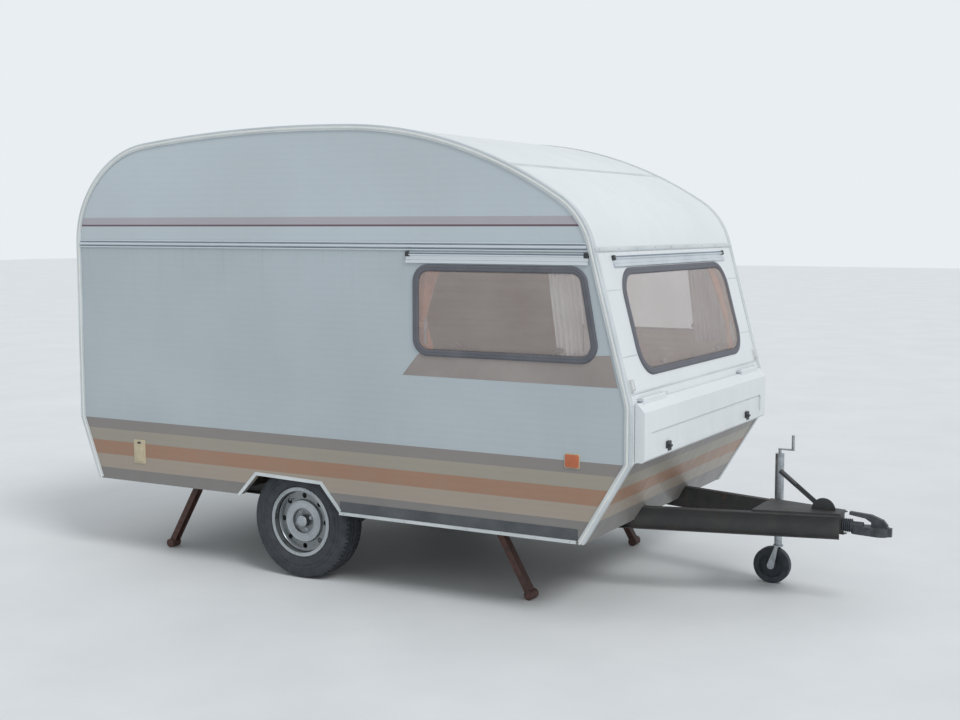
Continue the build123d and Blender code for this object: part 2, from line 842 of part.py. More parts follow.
# Roof vent: a curb cut to the roof's curve, and the lid on it
body_envelope = across(outline_face(0), -half, half)
vent_front = vent_place + vent_size
vent_half = vent_size / 2
vent_column = block(vent_place, vent_front, -vent_half, vent_half, shoulder_height, 2 * shoulder_height)
vent_base_top = (body_envelope & vent_column).bounding_box().max.Z + vent_stand
vent_base = block(vent_place, vent_front, -vent_half, vent_half, vent_base_top - vent_sink, vent_base_top)
vent_base -= body_envelope
vent_base -= block(vent_place + vent_wall, vent_front - vent_wall, vent_wall - vent_half, vent_half - vent_wall,
                   vent_base_top - 2 * vent_sink, vent_base_top + vent_wall)
write("roof_vent_base", vent_base)
vent_low = vent_base_top + seat_gap
vent_pivot = (vent_place - vent_lap, 0, vent_low)
vent_lid = block(vent_place - vent_lap, vent_front + vent_lap, -vent_half - vent_lap, vent_half + vent_lap,
                 vent_low, vent_low + vent_lid_thick)
vent_lid = chamfer(vent_lid.faces().sort_by(Axis.Z)[-1].edges(), vent_lid_chamfer)
write("roof_vent_lid", vent_lid)

# Door: trim round the opening, the leaf, its window, and the hinge knuckles
door_trim = nearside(on_plane(side_plane, grown(door_face, door_trim_width) - grown(door_face, 1), 0, edge_stand))
write("door_trim", door_trim)
leaf_face = grown(door_face, -door_gap)
leaf = nearside(on_plane(side_plane, leaf_face - grown(door_seal_face, -seal_lap), -wall, 0))
hinge_x = door_front - door_gap
for height in door_hinge_rows:
    low, high = height - door_hinge_tall / 2, height + door_hinge_tall / 2
    knuckle = Pos(hinge_x, half + door_hinge_stand, height) * Cylinder(door_hinge_radius, door_hinge_tall)
    strap = block(hinge_x - door_strap, hinge_x, half, half + door_strap_thick, low, high)
    web = block(hinge_x - door_hinge_radius + 1, hinge_x, half, half + door_hinge_stand, low, high)
    leaf += knuckle + strap + web
write("door_leaf", leaf)
write("door_window_seal", nearside(window_seal(side_plane, door_seal_face)))
write("door_window_pane", nearside(window_pane(side_plane, door_seal_face)))

# Locker lid: a hollow moulding with a sloped top and a recessed panel
lid_half = half - lid_inset
lid_back = nose_reach + lid_gap
lid_front = lid_back + lid_stand
lid_shape = make_face(Polyline((lid_back, lid_bottom), (lid_front - lid_chamfer, lid_bottom),
                               (lid_front, lid_bottom + lid_chamfer), (lid_front, lid_top - lid_slope),
                               (lid_back + lid_lip, lid_top), (lid_back, lid_top), close=True))
lid = across(lid_shape, -lid_half, lid_half)
hollow_front = lid_front - lid_front_wall
lid_hollow = make_face(Polyline((lid_back - 1, lid_bottom + lid_wall), (hollow_front, lid_bottom + lid_wall),
                                (hollow_front, lid_top - lid_slope - 2 * lid_wall),
                                (lid_back - 1, lid_top - 3 * lid_wall), close=True))
lid -= across(lid_hollow, -lid_half + lid_wall, lid_half - lid_wall)
pocket = rounded(rect_points(lid_half - pocket_inset, pocket_low, pocket_high), pocket_corner)
pocket_plane = Plane(origin=(lid_front - pocket_depth, 0, 0), x_dir=(0, 1, 0), z_dir=(1, 0, 0))
lid -= extrude(pocket_plane * pocket, 2 * pocket_depth)
lid -= across(Pos(lid_hinge_x, lid_hinge_z) * Circle(lid_rod_radius + pin_gap), -lid_half, lid_half)

# Its hinges: barrels on the lid between brackets on the wall, with a rod through both
hinges = []
for side in (-1, 1):
    y_low, y_high = sorted((side * (lid_half - lid_hinge_inset), side * (lid_half - lid_hinge_inset - lid_hinge_length)))
    barrel = across(Pos(lid_hinge_x, lid_hinge_z) * Circle(lid_barrel_radius), y_low, y_high)
    barrel += block(lid_hinge_x, lid_hinge_x + lid_barrel_radius, y_low, y_high, lid_top - 3 * lid_wall, lid_hinge_z)
    barrel -= across(Pos(lid_hinge_x, lid_hinge_z) * Circle(lid_rod_radius + pin_gap), y_low, y_high)
    lid += barrel
    ends = (y_low - lid_bracket_gap - lid_bracket_width, y_high + lid_bracket_gap + lid_bracket_width)
    hinge = across(Pos(lid_hinge_x, lid_hinge_z) * Circle(lid_rod_radius), *ends)
    for place in (ends[0], ends[1] - lid_bracket_width):
        bracket = block(nose_reach - wall, lid_hinge_x, place, place + lid_bracket_width,
                        lid_hinge_z - lid_bracket_thick / 2, lid_hinge_z + lid_bracket_thick / 2) - body_envelope
        knuckle = across(Pos(lid_hinge_x, lid_hinge_z) * Circle(lid_barrel_radius), place, place + lid_bracket_width)
        hinge += bracket + knuckle
    hinges.append(hinge)
write("locker_lid", lid)
write("locker_hinges", *hinges)


def on_undercut(height, inset):
    """Reach of the undercut's inner face at a height, moved inwards."""
    points = offset_line(front_line, wall + inset)
    (x0, z0), (x1, z1) = points[-2], points[-1]
    return x0 + (z0 - height) * (x1 - x0) / (z0 - z1)


# Locker tub behind the opening
front_inner = offset_line(front_line, wall)
tub_top = locker_high + tub_sheet
tub_back = nose_reach - wall - tub_depth
tub_low = tub_bottom - tub_sheet
tub_outer = [(tub_back - tub_sheet, tub_top), (tub_back - tub_sheet, tub_low), (on_undercut(tub_low, 0), tub_low),
             front_inner[2], (nose_reach - wall, tub_top)]
tub_front_low = offset_line(front_line, wall + tub_sheet)[2]
tub_inner = [(tub_back, locker_high), (tub_back, tub_bottom), (on_undercut(tub_bottom, tub_sheet), tub_bottom),
             tub_front_low, (tub_front_low[0], locker_low), (nose_reach, locker_low), (nose_reach, locker_high)]
tub_half = half - locker_inset
tub = across(make_face(Polyline(*tub_outer, close=True)), -tub_half - tub_sheet, tub_half + tub_sheet)
tub -= across(make_face(Polyline(*tub_inner, close=True)), -tub_half, tub_half)
write("locker_tub", tub)


# Furniture, seen through the windows: sheet carcasses, open to the wall behind them
def carcass(x_low, x_high, depth, z_low, z_high, side):
    """A unit's panels: two ends, the front towards the aisle and the top."""
    low, high = sorted((side * (inner_half - depth), side * inner_half))
    unit = block(x_low, x_high, low, high, z_low, z_high) & inner_space(wall)
    low, high = sorted((side * (inner_half - depth + ply), side * half))
    hollow = block(x_low + ply, x_high - ply, low, high, z_low - ply, z_high - ply)
    return unit - hollow


seat_low = floor_top + bench_height
seat_high = seat_low + cushion_thick
benches = []
cushions = []
for x_low, x_high, side in bench_rows:
    benches.append(carcass(x_low, x_high, bench_depth, floor_top, seat_low, side))
    low, high = sorted((side * (inner_half - bench_depth), side * inner_half))
    cushions.append(block(x_low, x_high, low, high, seat_low, seat_high) & inner_space(wall))
    low, high = sorted((side * (inner_half - back_rest_thick), side * (inner_half - seat_gap)))
    cushions.append(block(x_low, x_high, low, high, seat_high + seat_gap, seat_high + back_rest_tall)
                    & inner_space(wall))
write("bench_boxes", *benches)
write("bench_cushions", *cushions)
wardrobe = carcass(wardrobe_rear, wardrobe_front, wardrobe_depth, floor_top, wardrobe_top, -1)
wardrobe -= block(-box_half_length, box_half_length, -half, -box_inner, floor_bottom, box_top)
write("wardrobe", wardrobe)
write("kitchen_unit", carcass(kitchen_rear, kitchen_front, kitchen_depth, floor_top, floor_top + worktop_height, -1))

# Curtains, hanging inside each window, drawn back to its ends
curtain_out = inner_half - curtain_back
curtain_low = side_window_low - curtain_lap
curtain_high = side_window_high + curtain_lap
curtain_front = side_window_front - side_window_lean
curtains = []
for x_low, x_high in ((side_window_rear - curtain_lap, side_window_rear + curtain_width),
                      (curtain_front - curtain_width, curtain_front)):
    for side in (1, -1):
        low, high = sorted((side * curtain_out, side * (curtain_out - curtain_fold)))
        curtains.append(block(x_low, x_high, low, high, curtain_low, curtain_high))
rear_curtain_edge = rear_window_half + curtain_lap
rear_curtain_back = wall + curtain_back - rear_reach
for side in (1, -1):
    low, high = sorted((side * (rear_curtain_edge - curtain_width), side * rear_curtain_edge))
    curtains.append(block(rear_curtain_back, rear_curtain_back + curtain_fold, low, high,
                          rear_window_low - curtain_lap, rear_window_high + curtain_lap))
front_curtain_edge = front_window_half + curtain_lap
curtain_foot, curtain_head = up_rake(front_window_low - curtain_lap), up_rake(front_window_high)
for side in (1, -1):
    low, high = sorted((side * (front_curtain_edge - curtain_width), side * front_curtain_edge))
    curtain_face = make_face(Polyline((low, curtain_foot), (high, curtain_foot), (high, curtain_head),
                                      (low, curtain_head), close=True))
    curtains.append(on_plane(front_plane, curtain_face, -wall - curtain_back - curtain_fold, -wall - curtain_back))
write("curtains", *curtains)

# Corner steadies: a channel leg with a rolled foot, between two cheeks under the floor
steady_half = steady_width / 2
for name, place, side, way in steady_rows:
    leg = block(-steady_heel, steady_length, -steady_half, steady_half, -steady_depth / 2, steady_depth / 2)
    leg -= block(steady_foot_radius, steady_length - steady_foot_radius, steady_sheet - steady_half,
                 steady_half - steady_sheet, -steady_depth, steady_depth / 2 - steady_sheet)
    leg += Pos(steady_length, 0, 0) * Rot(X=90) * Cylinder(steady_foot_radius, steady_foot_width)
    leg -= Rot(X=90) * Cylinder(steady_pin_radius + pin_gap, steady_foot_width)
    leg = Rot(Y=steady_lean) * leg
    leg = leg if way == 1 else mirror(leg, Plane.YZ)
    write(f"steady_{name}", Pos(place, side * steady_spread, steady_pivot_height) * leg)

cheek_in = steady_half + cheek_gap
cheek_out = cheek_in + cheek_thick
cheek_top = floor_bottom - steady_pivot_height
brackets = []
for name, place, side, way in steady_rows:
    bracket = block(-cheek_length / 2, cheek_length / 2, -cheek_out, cheek_out, cheek_top - bracket_top, cheek_top)
    for s in (1, -1):
        low, high = sorted((s * cheek_in, s * cheek_out))
        bracket += block(-cheek_length / 2, cheek_length / 2, low, high, -cheek_drop, cheek_top)
    bracket += Rot(X=90) * Cylinder(steady_pin_radius, 2 * cheek_out)
    brackets.append(Pos(place, side * steady_spread, steady_pivot_height) * bracket)
write("steady_brackets", *brackets)

# Drawbar plate, with the overrun's housing under it: its section in Y and Z tapers downwards
plate_top = floor_bottom + plate_thick
plate_rear = coupling_reach - plate_back
plate = upright([(plate_rear, plate_spread), (drawbar_end, drawbar_spread), (drawbar_end, -drawbar_spread),
                 (plate_rear, -plate_spread)], floor_bottom, plate_top)
housing_plane = Plane(origin=(drawbar_end - housing_length, 0, 0), x_dir=(0, 1, 0), z_dir=(1, 0, 0))
housing_face = make_face(Polyline((-housing_half, floor_bottom), (-housing_half, tube_height),
                                  (-housing_foot_half, housing_bottom), (housing_foot_half, housing_bottom),
                                  (housing_half, tube_height), (housing_half, floor_bottom), close=True))
housing = extrude(housing_plane * housing_face, housing_length)
write("drawbar_plate", plate + housing)

# Coupling head on the end of its draw tube, with the release handle over it. The handle's outline is
# in X ahead of the ball and Z above the socket's mouth.
head_top = socket_bottom + socket_wall + socket_roof
tube_length = coupling_place - head_neck - drawbar_end
draw_tube = Pos(drawbar_end + (tube_length + head_neck_radius) / 2, 0, tube_height) * Rot(Y=90) * Cylinder(
    tube_radius, tube_length + head_neck_radius)
head_face = link_face((coupling_place, 0), head_radius, (coupling_place - head_neck, 0), head_neck_radius)
head = extrude(Pos(0, 0, socket_bottom) * head_face, head_top - socket_bottom)
neck_top = tube_height + tube_radius - socket_bottom
head_roof = link_face((coupling_place - head_neck, 0), head_neck_radius, (coupling_place - head_radius, 0),
                      head_neck_radius)
head += extrude(Pos(0, 0, socket_bottom) * head_roof, neck_top)
nose = block(coupling_place, coupling_reach, -handle_half, handle_half, socket_bottom, head_top)
handle_points = [(-40, 40), (30, 40), (44, 54), (20, 82), (-40, 104), (-150, 112), (-152, 96), (-70, 84), (-40, 66)]
handle = across(make_face(Polyline(*[(coupling_place + x, socket_bottom + z) for x, z in handle_points], close=True)),
                -handle_half, handle_half)
coupling = draw_tube + head + nose + handle
coupling -= Pos(coupling_place, 0, socket_bottom) * Cylinder(socket_radius, 2 * socket_wall)
write("coupling_head", coupling)

# Handbrake: a toothed sector and its lever, leaning back, with a round grip
brake_place = coupling_reach - brake_back
sector = across(Circle(sector_radius), -sector_thick / 2, sector_thick / 2)
sector &= block(-sector_radius, sector_radius, -sector_thick, sector_thick, 0, sector_radius)
lever = block(-lever_width / 2, lever_width / 2, sector_thick / 2, sector_thick / 2 + lever_thick, 0, lever_length)
lever += Pos(0, sector_thick / 2 + lever_thick / 2, lever_length - grip_length / 2) * Cylinder(grip_radius, grip_length)
lever = Rot(Y=-lever_lean) * lever
lever &= block(-2 * lever_length, lever_length, -lever_length, lever_length, 0, 2 * lever_length)
write("handbrake_lever", Pos(brake_place, 0, plate_top) * (sector + lever))

# Jockey wheel: clamp and outer tube on the drawbar, stem, fork and wheel
slope = (drawbar_spread - rail_spread) / (drawbar_end - rail_bend)
jockey_spread = rail_spread + (jockey_place - rail_bend) * slope + jockey_offset
rail_angle = degrees(atan2(drawbar_spread - rail_spread, drawbar_end - rail_bend))
to_web = jockey_offset * cos(radians(rail_angle)) + rail_half - rail_web
tube_inside = jockey_tube_high - jockey_cap
clamp = Rot(Z=rail_angle) * block(-clamp_half, clamp_half, -to_web, 0, clamp_low, clamp_high)
clamp += Pos(0, 0, (clamp_low + clamp_high) / 2) * Cylinder(clamp_radius, clamp_high - clamp_low)
clamp += Pos(0, 0, (jockey_tube_low + jockey_tube_high) / 2) * Cylinder(
    jockey_tube_radius, jockey_tube_high - jockey_tube_low)
clamp -= Pos(0, 0, tube_inside / 2) * Cylinder(jockey_bore, tube_inside)

# Crank on top: a short spindle, the arm and its upright grip
crank_low = jockey_tube_high + crank_height
clamp += Pos(0, 0, (jockey_tube_high + crank_low) / 2) * Cylinder(crank_bar, crank_height)
clamp += block(-crank_bar, crank_reach + crank_bar, -crank_bar, crank_bar, crank_low - crank_bar / 2,
               crank_low + crank_bar / 2)
clamp += Pos(crank_reach, 0, crank_low + crank_grip / 2) * Cylinder(crank_bar, crank_grip)
write("jockey_tube", Pos(jockey_place, jockey_spread, 0) * clamp)
stem_length = jockey_stem_top - jockey_crown
stem = Pos(0, 0, (jockey_crown + jockey_stem_top) / 2) * Cylinder(jockey_stem_radius, stem_length)
stem -= Pos(0, 0, jockey_crown) * Cylinder(jockey_pin_radius + pin_gap, stem_length / 6)
write("jockey_stem", Pos(jockey_place, jockey_spread, 0) * stem)

fork_low = jockey_crown - fork_head
fork_top = jockey_crown - 2 * seat_gap
fork_in = jockey_hub_width / 2 + fork_gap
fork_out = fork_in + fork_sheet
fork = Pos(0, 0, (fork_low + fork_top) / 2) * Cylinder(clamp_radius - fork_gap, fork_top - fork_low)
fork += Pos(0, 0, jockey_crown + fork_head) * Cylinder(jockey_pin_radius, 4 * fork_head)
fork += block(-fork_head, fork_head, -fork_out, fork_out, fork_low, fork_top)
for s in (1, -1):
    low, high = sorted((s * fork_in, s * fork_out))
    fork += across(link_face((-jockey_trail, jockey_radius), fork_foot, (0, fork_low), fork_head), low, high)
fork += Pos(-jockey_trail, 0, jockey_radius) * Rot(X=90) * Cylinder(jockey_pin_radius, 2 * fork_out)
write("jockey_fork", Pos(jockey_place, jockey_spread, 0) * fork)

# Solid-tyred wheel: hub, web and the tyre round it
hub_side, tyre_side = jockey_hub_width / 2, jockey_width / 2
small_half = [(jockey_pin_radius + pin_gap, hub_side), (jockey_hub_radius, hub_side),
              (jockey_hub_radius, jockey_web_half), (jockey_felly, jockey_web_half), (jockey_felly, tyre_side),
              (jockey_radius, tyre_side)]
small_wheel = turned(small_half + [(r, -place) for r, place in reversed(small_half)])
write("jockey_wheel", Pos(jockey_place - jockey_trail, jockey_spread, jockey_radius) * Rot(X=-90) * small_wheel)
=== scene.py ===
from math import cos, pi, radians, sin, tan

import bmesh
import bpy
import numpy as np
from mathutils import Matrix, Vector


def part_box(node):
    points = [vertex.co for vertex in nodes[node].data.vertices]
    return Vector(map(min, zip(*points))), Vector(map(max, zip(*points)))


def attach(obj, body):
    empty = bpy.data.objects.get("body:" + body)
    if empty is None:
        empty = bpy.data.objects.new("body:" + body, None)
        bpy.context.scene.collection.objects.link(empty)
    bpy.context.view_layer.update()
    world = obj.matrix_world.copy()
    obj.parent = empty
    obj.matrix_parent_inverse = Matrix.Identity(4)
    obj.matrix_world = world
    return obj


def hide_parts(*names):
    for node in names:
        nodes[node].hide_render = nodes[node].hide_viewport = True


# Small touring caravan, single axle. Everything is in metres, X forward, Y to the nearside, Z up.
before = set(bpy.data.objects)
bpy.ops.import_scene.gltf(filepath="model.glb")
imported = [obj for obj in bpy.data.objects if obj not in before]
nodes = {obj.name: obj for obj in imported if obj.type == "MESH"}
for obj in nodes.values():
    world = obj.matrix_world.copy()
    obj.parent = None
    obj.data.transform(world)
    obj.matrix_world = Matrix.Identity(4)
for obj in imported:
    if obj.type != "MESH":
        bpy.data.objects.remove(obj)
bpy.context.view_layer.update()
scene = bpy.context.scene
mm = 0.001


def span(node):
    low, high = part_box(node)
    return np.array(low), np.array(high)


# Places that many pieces share, read from the frame
rimLow, rimHigh = span("rim_right")
axleX = (rimLow[0] + rimHigh[0]) / 2
hubZ = (rimLow[2] + rimHigh[2]) / 2
shellLow, shellHigh = span("side_wall_left")
wallOut = shellHigh[1]
innerOut = shellLow[1]
noseX, tailX = shellHigh[0], shellLow[0]
print("frame loaded, axle at", round(axleX, 3))


# Colours, nodes and meshes


# sRGB hex to linear: below 0.04045 value / 12.92, else ((value + 0.055) / 1.055) to the power 2.4
def hexColour(text):
    parts = np.array([int(text[i:i + 2], 16) for i in (1, 3, 5)]) / 255
    linear = np.where(parts <= 0.04045, parts / 12.92, ((parts + 0.055) / 1.055) ** 2.4)
    return (*linear.tolist(), 1.0)


# Fills a node's inputs, by name or in order. A node stands for its first output, and outputs are linked.
def fill(tree, node, sockets):
    for name, value in sockets.items() if isinstance(sockets, dict) else enumerate(sockets):
        if isinstance(value, bpy.types.Node):
            value = value.outputs[0]
        if isinstance(value, bpy.types.NodeSocket):
            tree.links.new(value, node.inputs[name])
        else:
            node.inputs[name].default_value = value


# Adds one node of a kind with its inputs and settings. stops fill a colour ramp.
def addNode(tree, kind, sockets=(), stops=(), steps=False, **settings):
    node = tree.nodes.new("ShaderNode" + kind)
    for name, value in settings.items():
        setattr(node, name, value)
    fill(tree, node, sockets)
    if stops:
        node.color_ramp.interpolation = "CONSTANT" if steps else "LINEAR"
    for i, (place, colour) in enumerate(stops):
        mark = node.color_ramp.elements[i] if i < 2 else node.color_ramp.elements.new(place)
        mark.position, mark.color = place, hexColour(colour)
    return node


# A new material with its tree, its shader with plain values set, and its Object coordinates
def startMaterial(name, values):
    material = bpy.data.materials.new(name)
    material.use_nodes = True
    tree = material.node_tree
    shader = tree.nodes["Principled BSDF"]
    fill(tree, shader, values)
    coordinates = addNode(tree, "TexCoord")
    return material, tree, shader, coordinates.outputs["Object"]


# Faces of a grid of points, rows by columns, joined round where wrapped
def gridFaces(rows, columns, wrapRows=False, wrapColumns=False):
    i, j = np.indices((rows - (not wrapRows), columns - (not wrapColumns)))
    nextRow, nextColumn = (i + 1) % rows, (j + 1) % columns
    here, after = i * columns, nextRow * columns
    corners = (here + j, after + j, after + nextColumn, here + nextColumn)
    return np.stack(corners, axis=-1).reshape(-1, 4).tolist()


# Several shapes as one: each shape's point numbers are moved up by the points before it
def gather(shapes):
    points, faces, count = [], [], 0
    for part, rows in shapes:
        points.append(part)
        faces += [[n + count for n in row] for row in rows]
        count += len(part)
    return np.concatenate(points), faces


# Puts shapes into one new object, doubles merged and faces turned outwards
def makePiece(name, shapes, material, body="caravan", replaced=(), sharp=38, closed=True):
    points, faces = gather(shapes)
    mesh = bpy.data.meshes.new(name)
    mesh.from_pydata(points.tolist(), [], faces)
    if closed:
        shape = bmesh.new()
        shape.from_mesh(mesh)
        bmesh.ops.remove_doubles(shape, verts=shape.verts, dist=1e-6)
        bmesh.ops.recalc_face_normals(shape, faces=shape.faces)
        shape.to_mesh(mesh)
        shape.free()
    mesh.shade_smooth()
    mesh.set_sharp_from_angle(angle=radians(sharp))
    mesh.materials.append(material)
    piece = bpy.data.objects.new(name, mesh)
    scene.collection.objects.link(piece)
    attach(piece, body)
    if replaced:
        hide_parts(*replaced)
    return piece


# The ends of a grid of rings as two faces
def endCaps(rows, columns):
    return [list(range(columns)), list(range((rows - 1) * columns, rows * columns))]


# A profile carried along a path: point = path + across * profile x + up * profile y
def sweep(path, across, up, profile, wrap=False):
    path, profile = np.asarray(path, float), np.asarray(profile, float)
    across, up = np.broadcast_to(across, path.shape), np.broadcast_to(up, path.shape)
    points = path[:, None] + across[:, None] * profile[None, :, :1] + up[:, None] * profile[None, :, 1:]
    rows, columns = points.shape[:2]
    faces = gridFaces(rows, columns, wrap, True) + ([] if wrap else endCaps(rows, columns))
    return points.reshape(-1, 3), faces


# Points round a circle: radius * (cos, sin)
def circle(radius, sides):
    angle = np.linspace(0, 2 * pi, sides, endpoint=False)
    return np.stack([np.cos(angle), np.sin(angle)], 1) * radius


# Unit tangents of a line of points: differences between neighbours, each made one long
def tangents(path):
    along = np.gradient(path, axis=0)
    return along / np.linalg.norm(along, axis=1, keepdims=True)


# A round bar along a path that lies in one plane: the circle stands on the path's tangent
def bar(path, radius, flatNormal, sides=12):
    return sweep(path, np.cross(tangents(path), flatNormal), flatNormal, circle(radius, sides))


# A section of radius and place turned about an axis: point = centre + axis * place + radius * (cos, sin)
def turned(centre, axis, section, steps=48):
    axis = np.asarray(axis, float)
    first = np.cross(axis, (0.0, 0.0, 1.0)) if abs(axis[2]) < 0.9 else np.array((1.0, 0.0, 0.0))
    second = np.cross(axis, first)
    section = np.asarray(section, float)
    angle = np.linspace(0, 2 * pi, steps, endpoint=False)[:, None, None]
    radius, place = section[None, :, :1], section[None, :, 1:]
    points = np.asarray(centre) + axis * place + radius * (first * np.cos(angle) + second * np.sin(angle))
    faces = gridFaces(steps, len(section), True, False)
    for end in (0, len(section) - 1):
        if section[end, 0] > 0:
            faces += [list(range(end, steps * len(section), len(section)))]
    return points.reshape(-1, 3), [row for row in faces if len(set(row)) > 2]


# A closed outline with round corners: each corner becomes an arc between its two tangent points
def roundedLoop(corners, radius, steps=10):
    corners = np.asarray(corners, float)
    made = []
    for before, corner, after in zip(np.roll(corners, 1, 0), corners, np.roll(corners, -1, 0)):
        a, b = before - corner, after - corner
        a, b = a / np.linalg.norm(a), b / np.linalg.norm(b)
        halfAngle = np.arccos(np.clip(a @ b, -1, 1)) / 2
        bisector = (a + b) / np.linalg.norm(a + b)
        middle = corner + bisector * radius / sin(halfAngle)
        first, last = (corner + way * radius / tan(halfAngle) - middle for way in (a, b))
        turn = np.arctan2(first[0] * last[1] - first[1] * last[0], first @ last)
        angle = np.arctan2(first[1], first[0]) + turn * np.linspace(0, 1, steps)
        made.append(middle + radius * np.stack([np.cos(angle), np.sin(angle)], 1))
    return np.concatenate(made)


# Outward normals of a closed loop that runs anticlockwise: the tangent turned a quarter to the right
def loopNormals(loop):
    along = np.roll(loop, -1, 0) - np.roll(loop, 1, 0)
    along /= np.linalg.norm(along, axis=1, keepdims=True)
    return np.stack([along[:, 1], -along[:, 0]], 1)


def rectangle(uLow, uHigh, vLow, vHigh):
    return np.array([(uLow, vLow), (uHigh, vLow), (uHigh, vHigh), (uLow, vHigh)])


# Each wall as a plane: where it starts, its two directions and the way it faces
rake = radians(15)
noseTopZ = 1.0996
aisleY = 0.430
kitchenLow, kitchenHigh = span("kitchen_unit")
walls = {
    "offside": ((0, -wallOut, 0), (1, 0, 0), (0, 0, 1), (0, -1, 0)),
    "nearside": ((0, wallOut, 0), (1, 0, 0), (0, 0, 1), (0, 1, 0)),
    "front": ((noseX, 0, noseTopZ), (0, 1, 0), (-sin(rake), 0, cos(rake)), (cos(rake), 0, sin(rake))),
    "rear": ((tailX, 0, 0), (0, -1, 0), (0, 0, 1), (-1, 0, 0)),
    "top": ((0, 0, 0), (1, 0, 0), (0, 1, 0), (0, 0, 1)),
    "lid": ((span("locker_lid")[1][0], 0, 0), (0, 1, 0), (0, 0, 1), (1, 0, 0)),
    "aisle": ((0, -aisleY, 0), (1, 0, 0), (0, 0, 1), (0, 1, 0)),
    "worktop": ((0, 0, kitchenHigh[2]), (1, 0, 0), (0, 1, 0), (0, 0, 1))}
walls = {name: tuple(np.array(row, float) for row in rows) for name, rows in walls.items()}


# A point on a wall: start + u * first direction + v * second direction + height * the way it faces
def onWall(wall, flat, height=0.0):
    start, first, second, facing = walls[wall]
    flat, height = np.asarray(flat, float), np.asarray(height, float)[..., None]
    return start + flat[..., :1] * first + flat[..., 1:2] * second + height * facing


def upRake(height):
    return (height - noseTopZ) / cos(rake)


# Rings about a loop's middle: point = middle + (loop - normal * inset - middle) * share, at its height, with
# the first and last rings filled in
def ringPanel(wall, loop, rows):
    rows = np.asarray(rows, float)
    middle = (loop.max(0) + loop.min(0)) / 2
    ring = loop[None] - loopNormals(loop)[None] * rows[:, None, :1]
    points = onWall(wall, middle + (ring - middle) * rows[:, None, 1:2], rows[:, 2:])
    faces = gridFaces(len(rows), len(loop), False, True) + endCaps(len(rows), len(loop))
    return points.reshape(-1, 3), faces


# A plate with a round edge: straight up, then a quarter circle of the edge's radius, then the flat top
def plate(wall, corners, radius, height, edge, low=0.0, steps=6):
    angle = np.linspace(0, pi / 2, 5)
    rows = [(0, 1, low)] + [(edge * (1 - cos(a)), 1, height - edge + edge * sin(a)) for a in angle]
    return ringPanel(wall, roundedLoop(corners, radius, steps), rows)


# Materials


# Two tones blended by cloudy noise, with roughness that follows it and a finer bump. Grains are in
# millimetres, and each is no finer than the render shows. worn gives a colour, a share of the surface
# and a grain: patches of that colour, rougher than the rest, where a second noise is high. The last
# argument gives tones that multiply the colour by the distance from the wheels' axle in millimetres, up
# to 200: painted shade, darker in the hollows of a wheel.
def mottled(name, tones, roughness, metallic=0.0, grain=80, stretch=(1, 1, 1), bump=0.1, bumpGrain=3,
            coat=0.0, worn=None, filmAndShade=None):
    material, tree, shader, place = startMaterial(name, {"Metallic": metallic, "Coat Weight": coat})
    laid = addNode(tree, "Mapping", {"Vector": place, "Scale": stretch})
    cloud = addNode(tree, "TexNoise", {"Vector": laid, "Scale": 1000 / grain, "Detail": 6.0,
                                       "Roughness": 0.62})
    colour = addNode(tree, "ValToRGB", [cloud], stops=[(0.34, tones[0]), (0.66, tones[1])])
    rough = addNode(tree, "MapRange", [cloud, 0.3, 0.7, roughness - 0.08, roughness + 0.08])
    fine = addNode(tree, "TexNoise", {"Vector": laid, "Scale": 1000 / bumpGrain, "Detail": 3.0})
    relief = addNode(tree, "Bump", {"Height": fine, "Strength": bump, "Distance": 0.0006})
    if worn:
        patch, amount, wornGrain = worn
        spots = addNode(tree, "TexNoise", {"Vector": place, "Scale": 1000 / wornGrain, "Detail": 8.0,
                                           "Roughness": 0.7})
        mask = addNode(tree, "MapRange", [spots, 0.66 - amount, 0.76 - amount])
        colour = addNode(tree, "Mix", {0: mask, 6: colour, 7: hexColour(patch)}, data_type="RGBA").outputs[2]
        rough = addNode(tree, "Math", [mask, 0.25, rough], operation="MULTIPLY_ADD", use_clamp=True)
    # Painted shade: tones by radius darken the nave, the dish and the barrel's inner wall, the hollows where
    # shade falls
    if filmAndShade:
        apart = addNode(tree, "VectorMath", [place, (axleX, 0, hubZ)], operation="SUBTRACT")
        apart = addNode(tree, "VectorMath", [apart, (1, 0, 1)], operation="MULTIPLY")
        apart = addNode(tree, "VectorMath", [apart], operation="LENGTH").outputs["Value"]
        share = addNode(tree, "Math", [apart, 200 * mm], operation="DIVIDE")
        hollowShadeTones = addNode(tree, "ValToRGB", [share], stops=[(r / 200, tone) for r, tone in filmAndShade])
        colour = addNode(tree, "Mix", {0: 1.0, 6: colour, 7: hollowShadeTones}, data_type="RGBA",
                         blend_type="MULTIPLY").outputs[2]
    fill(tree, shader, {"Base Color": colour, "Roughness": rough, "Normal": relief})
    return material


# The side's tones are the ends' white enamel drawn darker and bluer as painted shade, a little darker again
# below the belt rail; the ends' tone is near the paint's own white.
skin = {"side": "#bcc6cb", "sideLow": "#b1bbc0", "end": "#dfe3e5", "ribPitch": 36 * mm, "grime": "#8d8f8a",
        "top": 2.6, "grimeTop": 1.0, "ribDepth": 0.0007, "lining": ("#cdb89e", "#dccab2"),
        "liningGrain": 40 * mm, "middle": (-0.4, 0.0, 1.4), "belt": 1.828}
# Lower edge of each painted band in millimetres above the road, and its colour: each darker than the stripe's
# own paint, as painted shade near the ground
lowBands = [(0, "#7a7573"), (508, "#a19385"), (593, "#9c745a"), (672, "#9b9386"), (742, "#867f7c")]
sideBands = lowBands + [(808, skin["sideLow"]), (1828, skin["side"]), (1943, "#664f5b"), (1954, "#ada9b0"),
                        (1992, skin["side"])]
endBands = lowBands + [(808, skin["end"])]


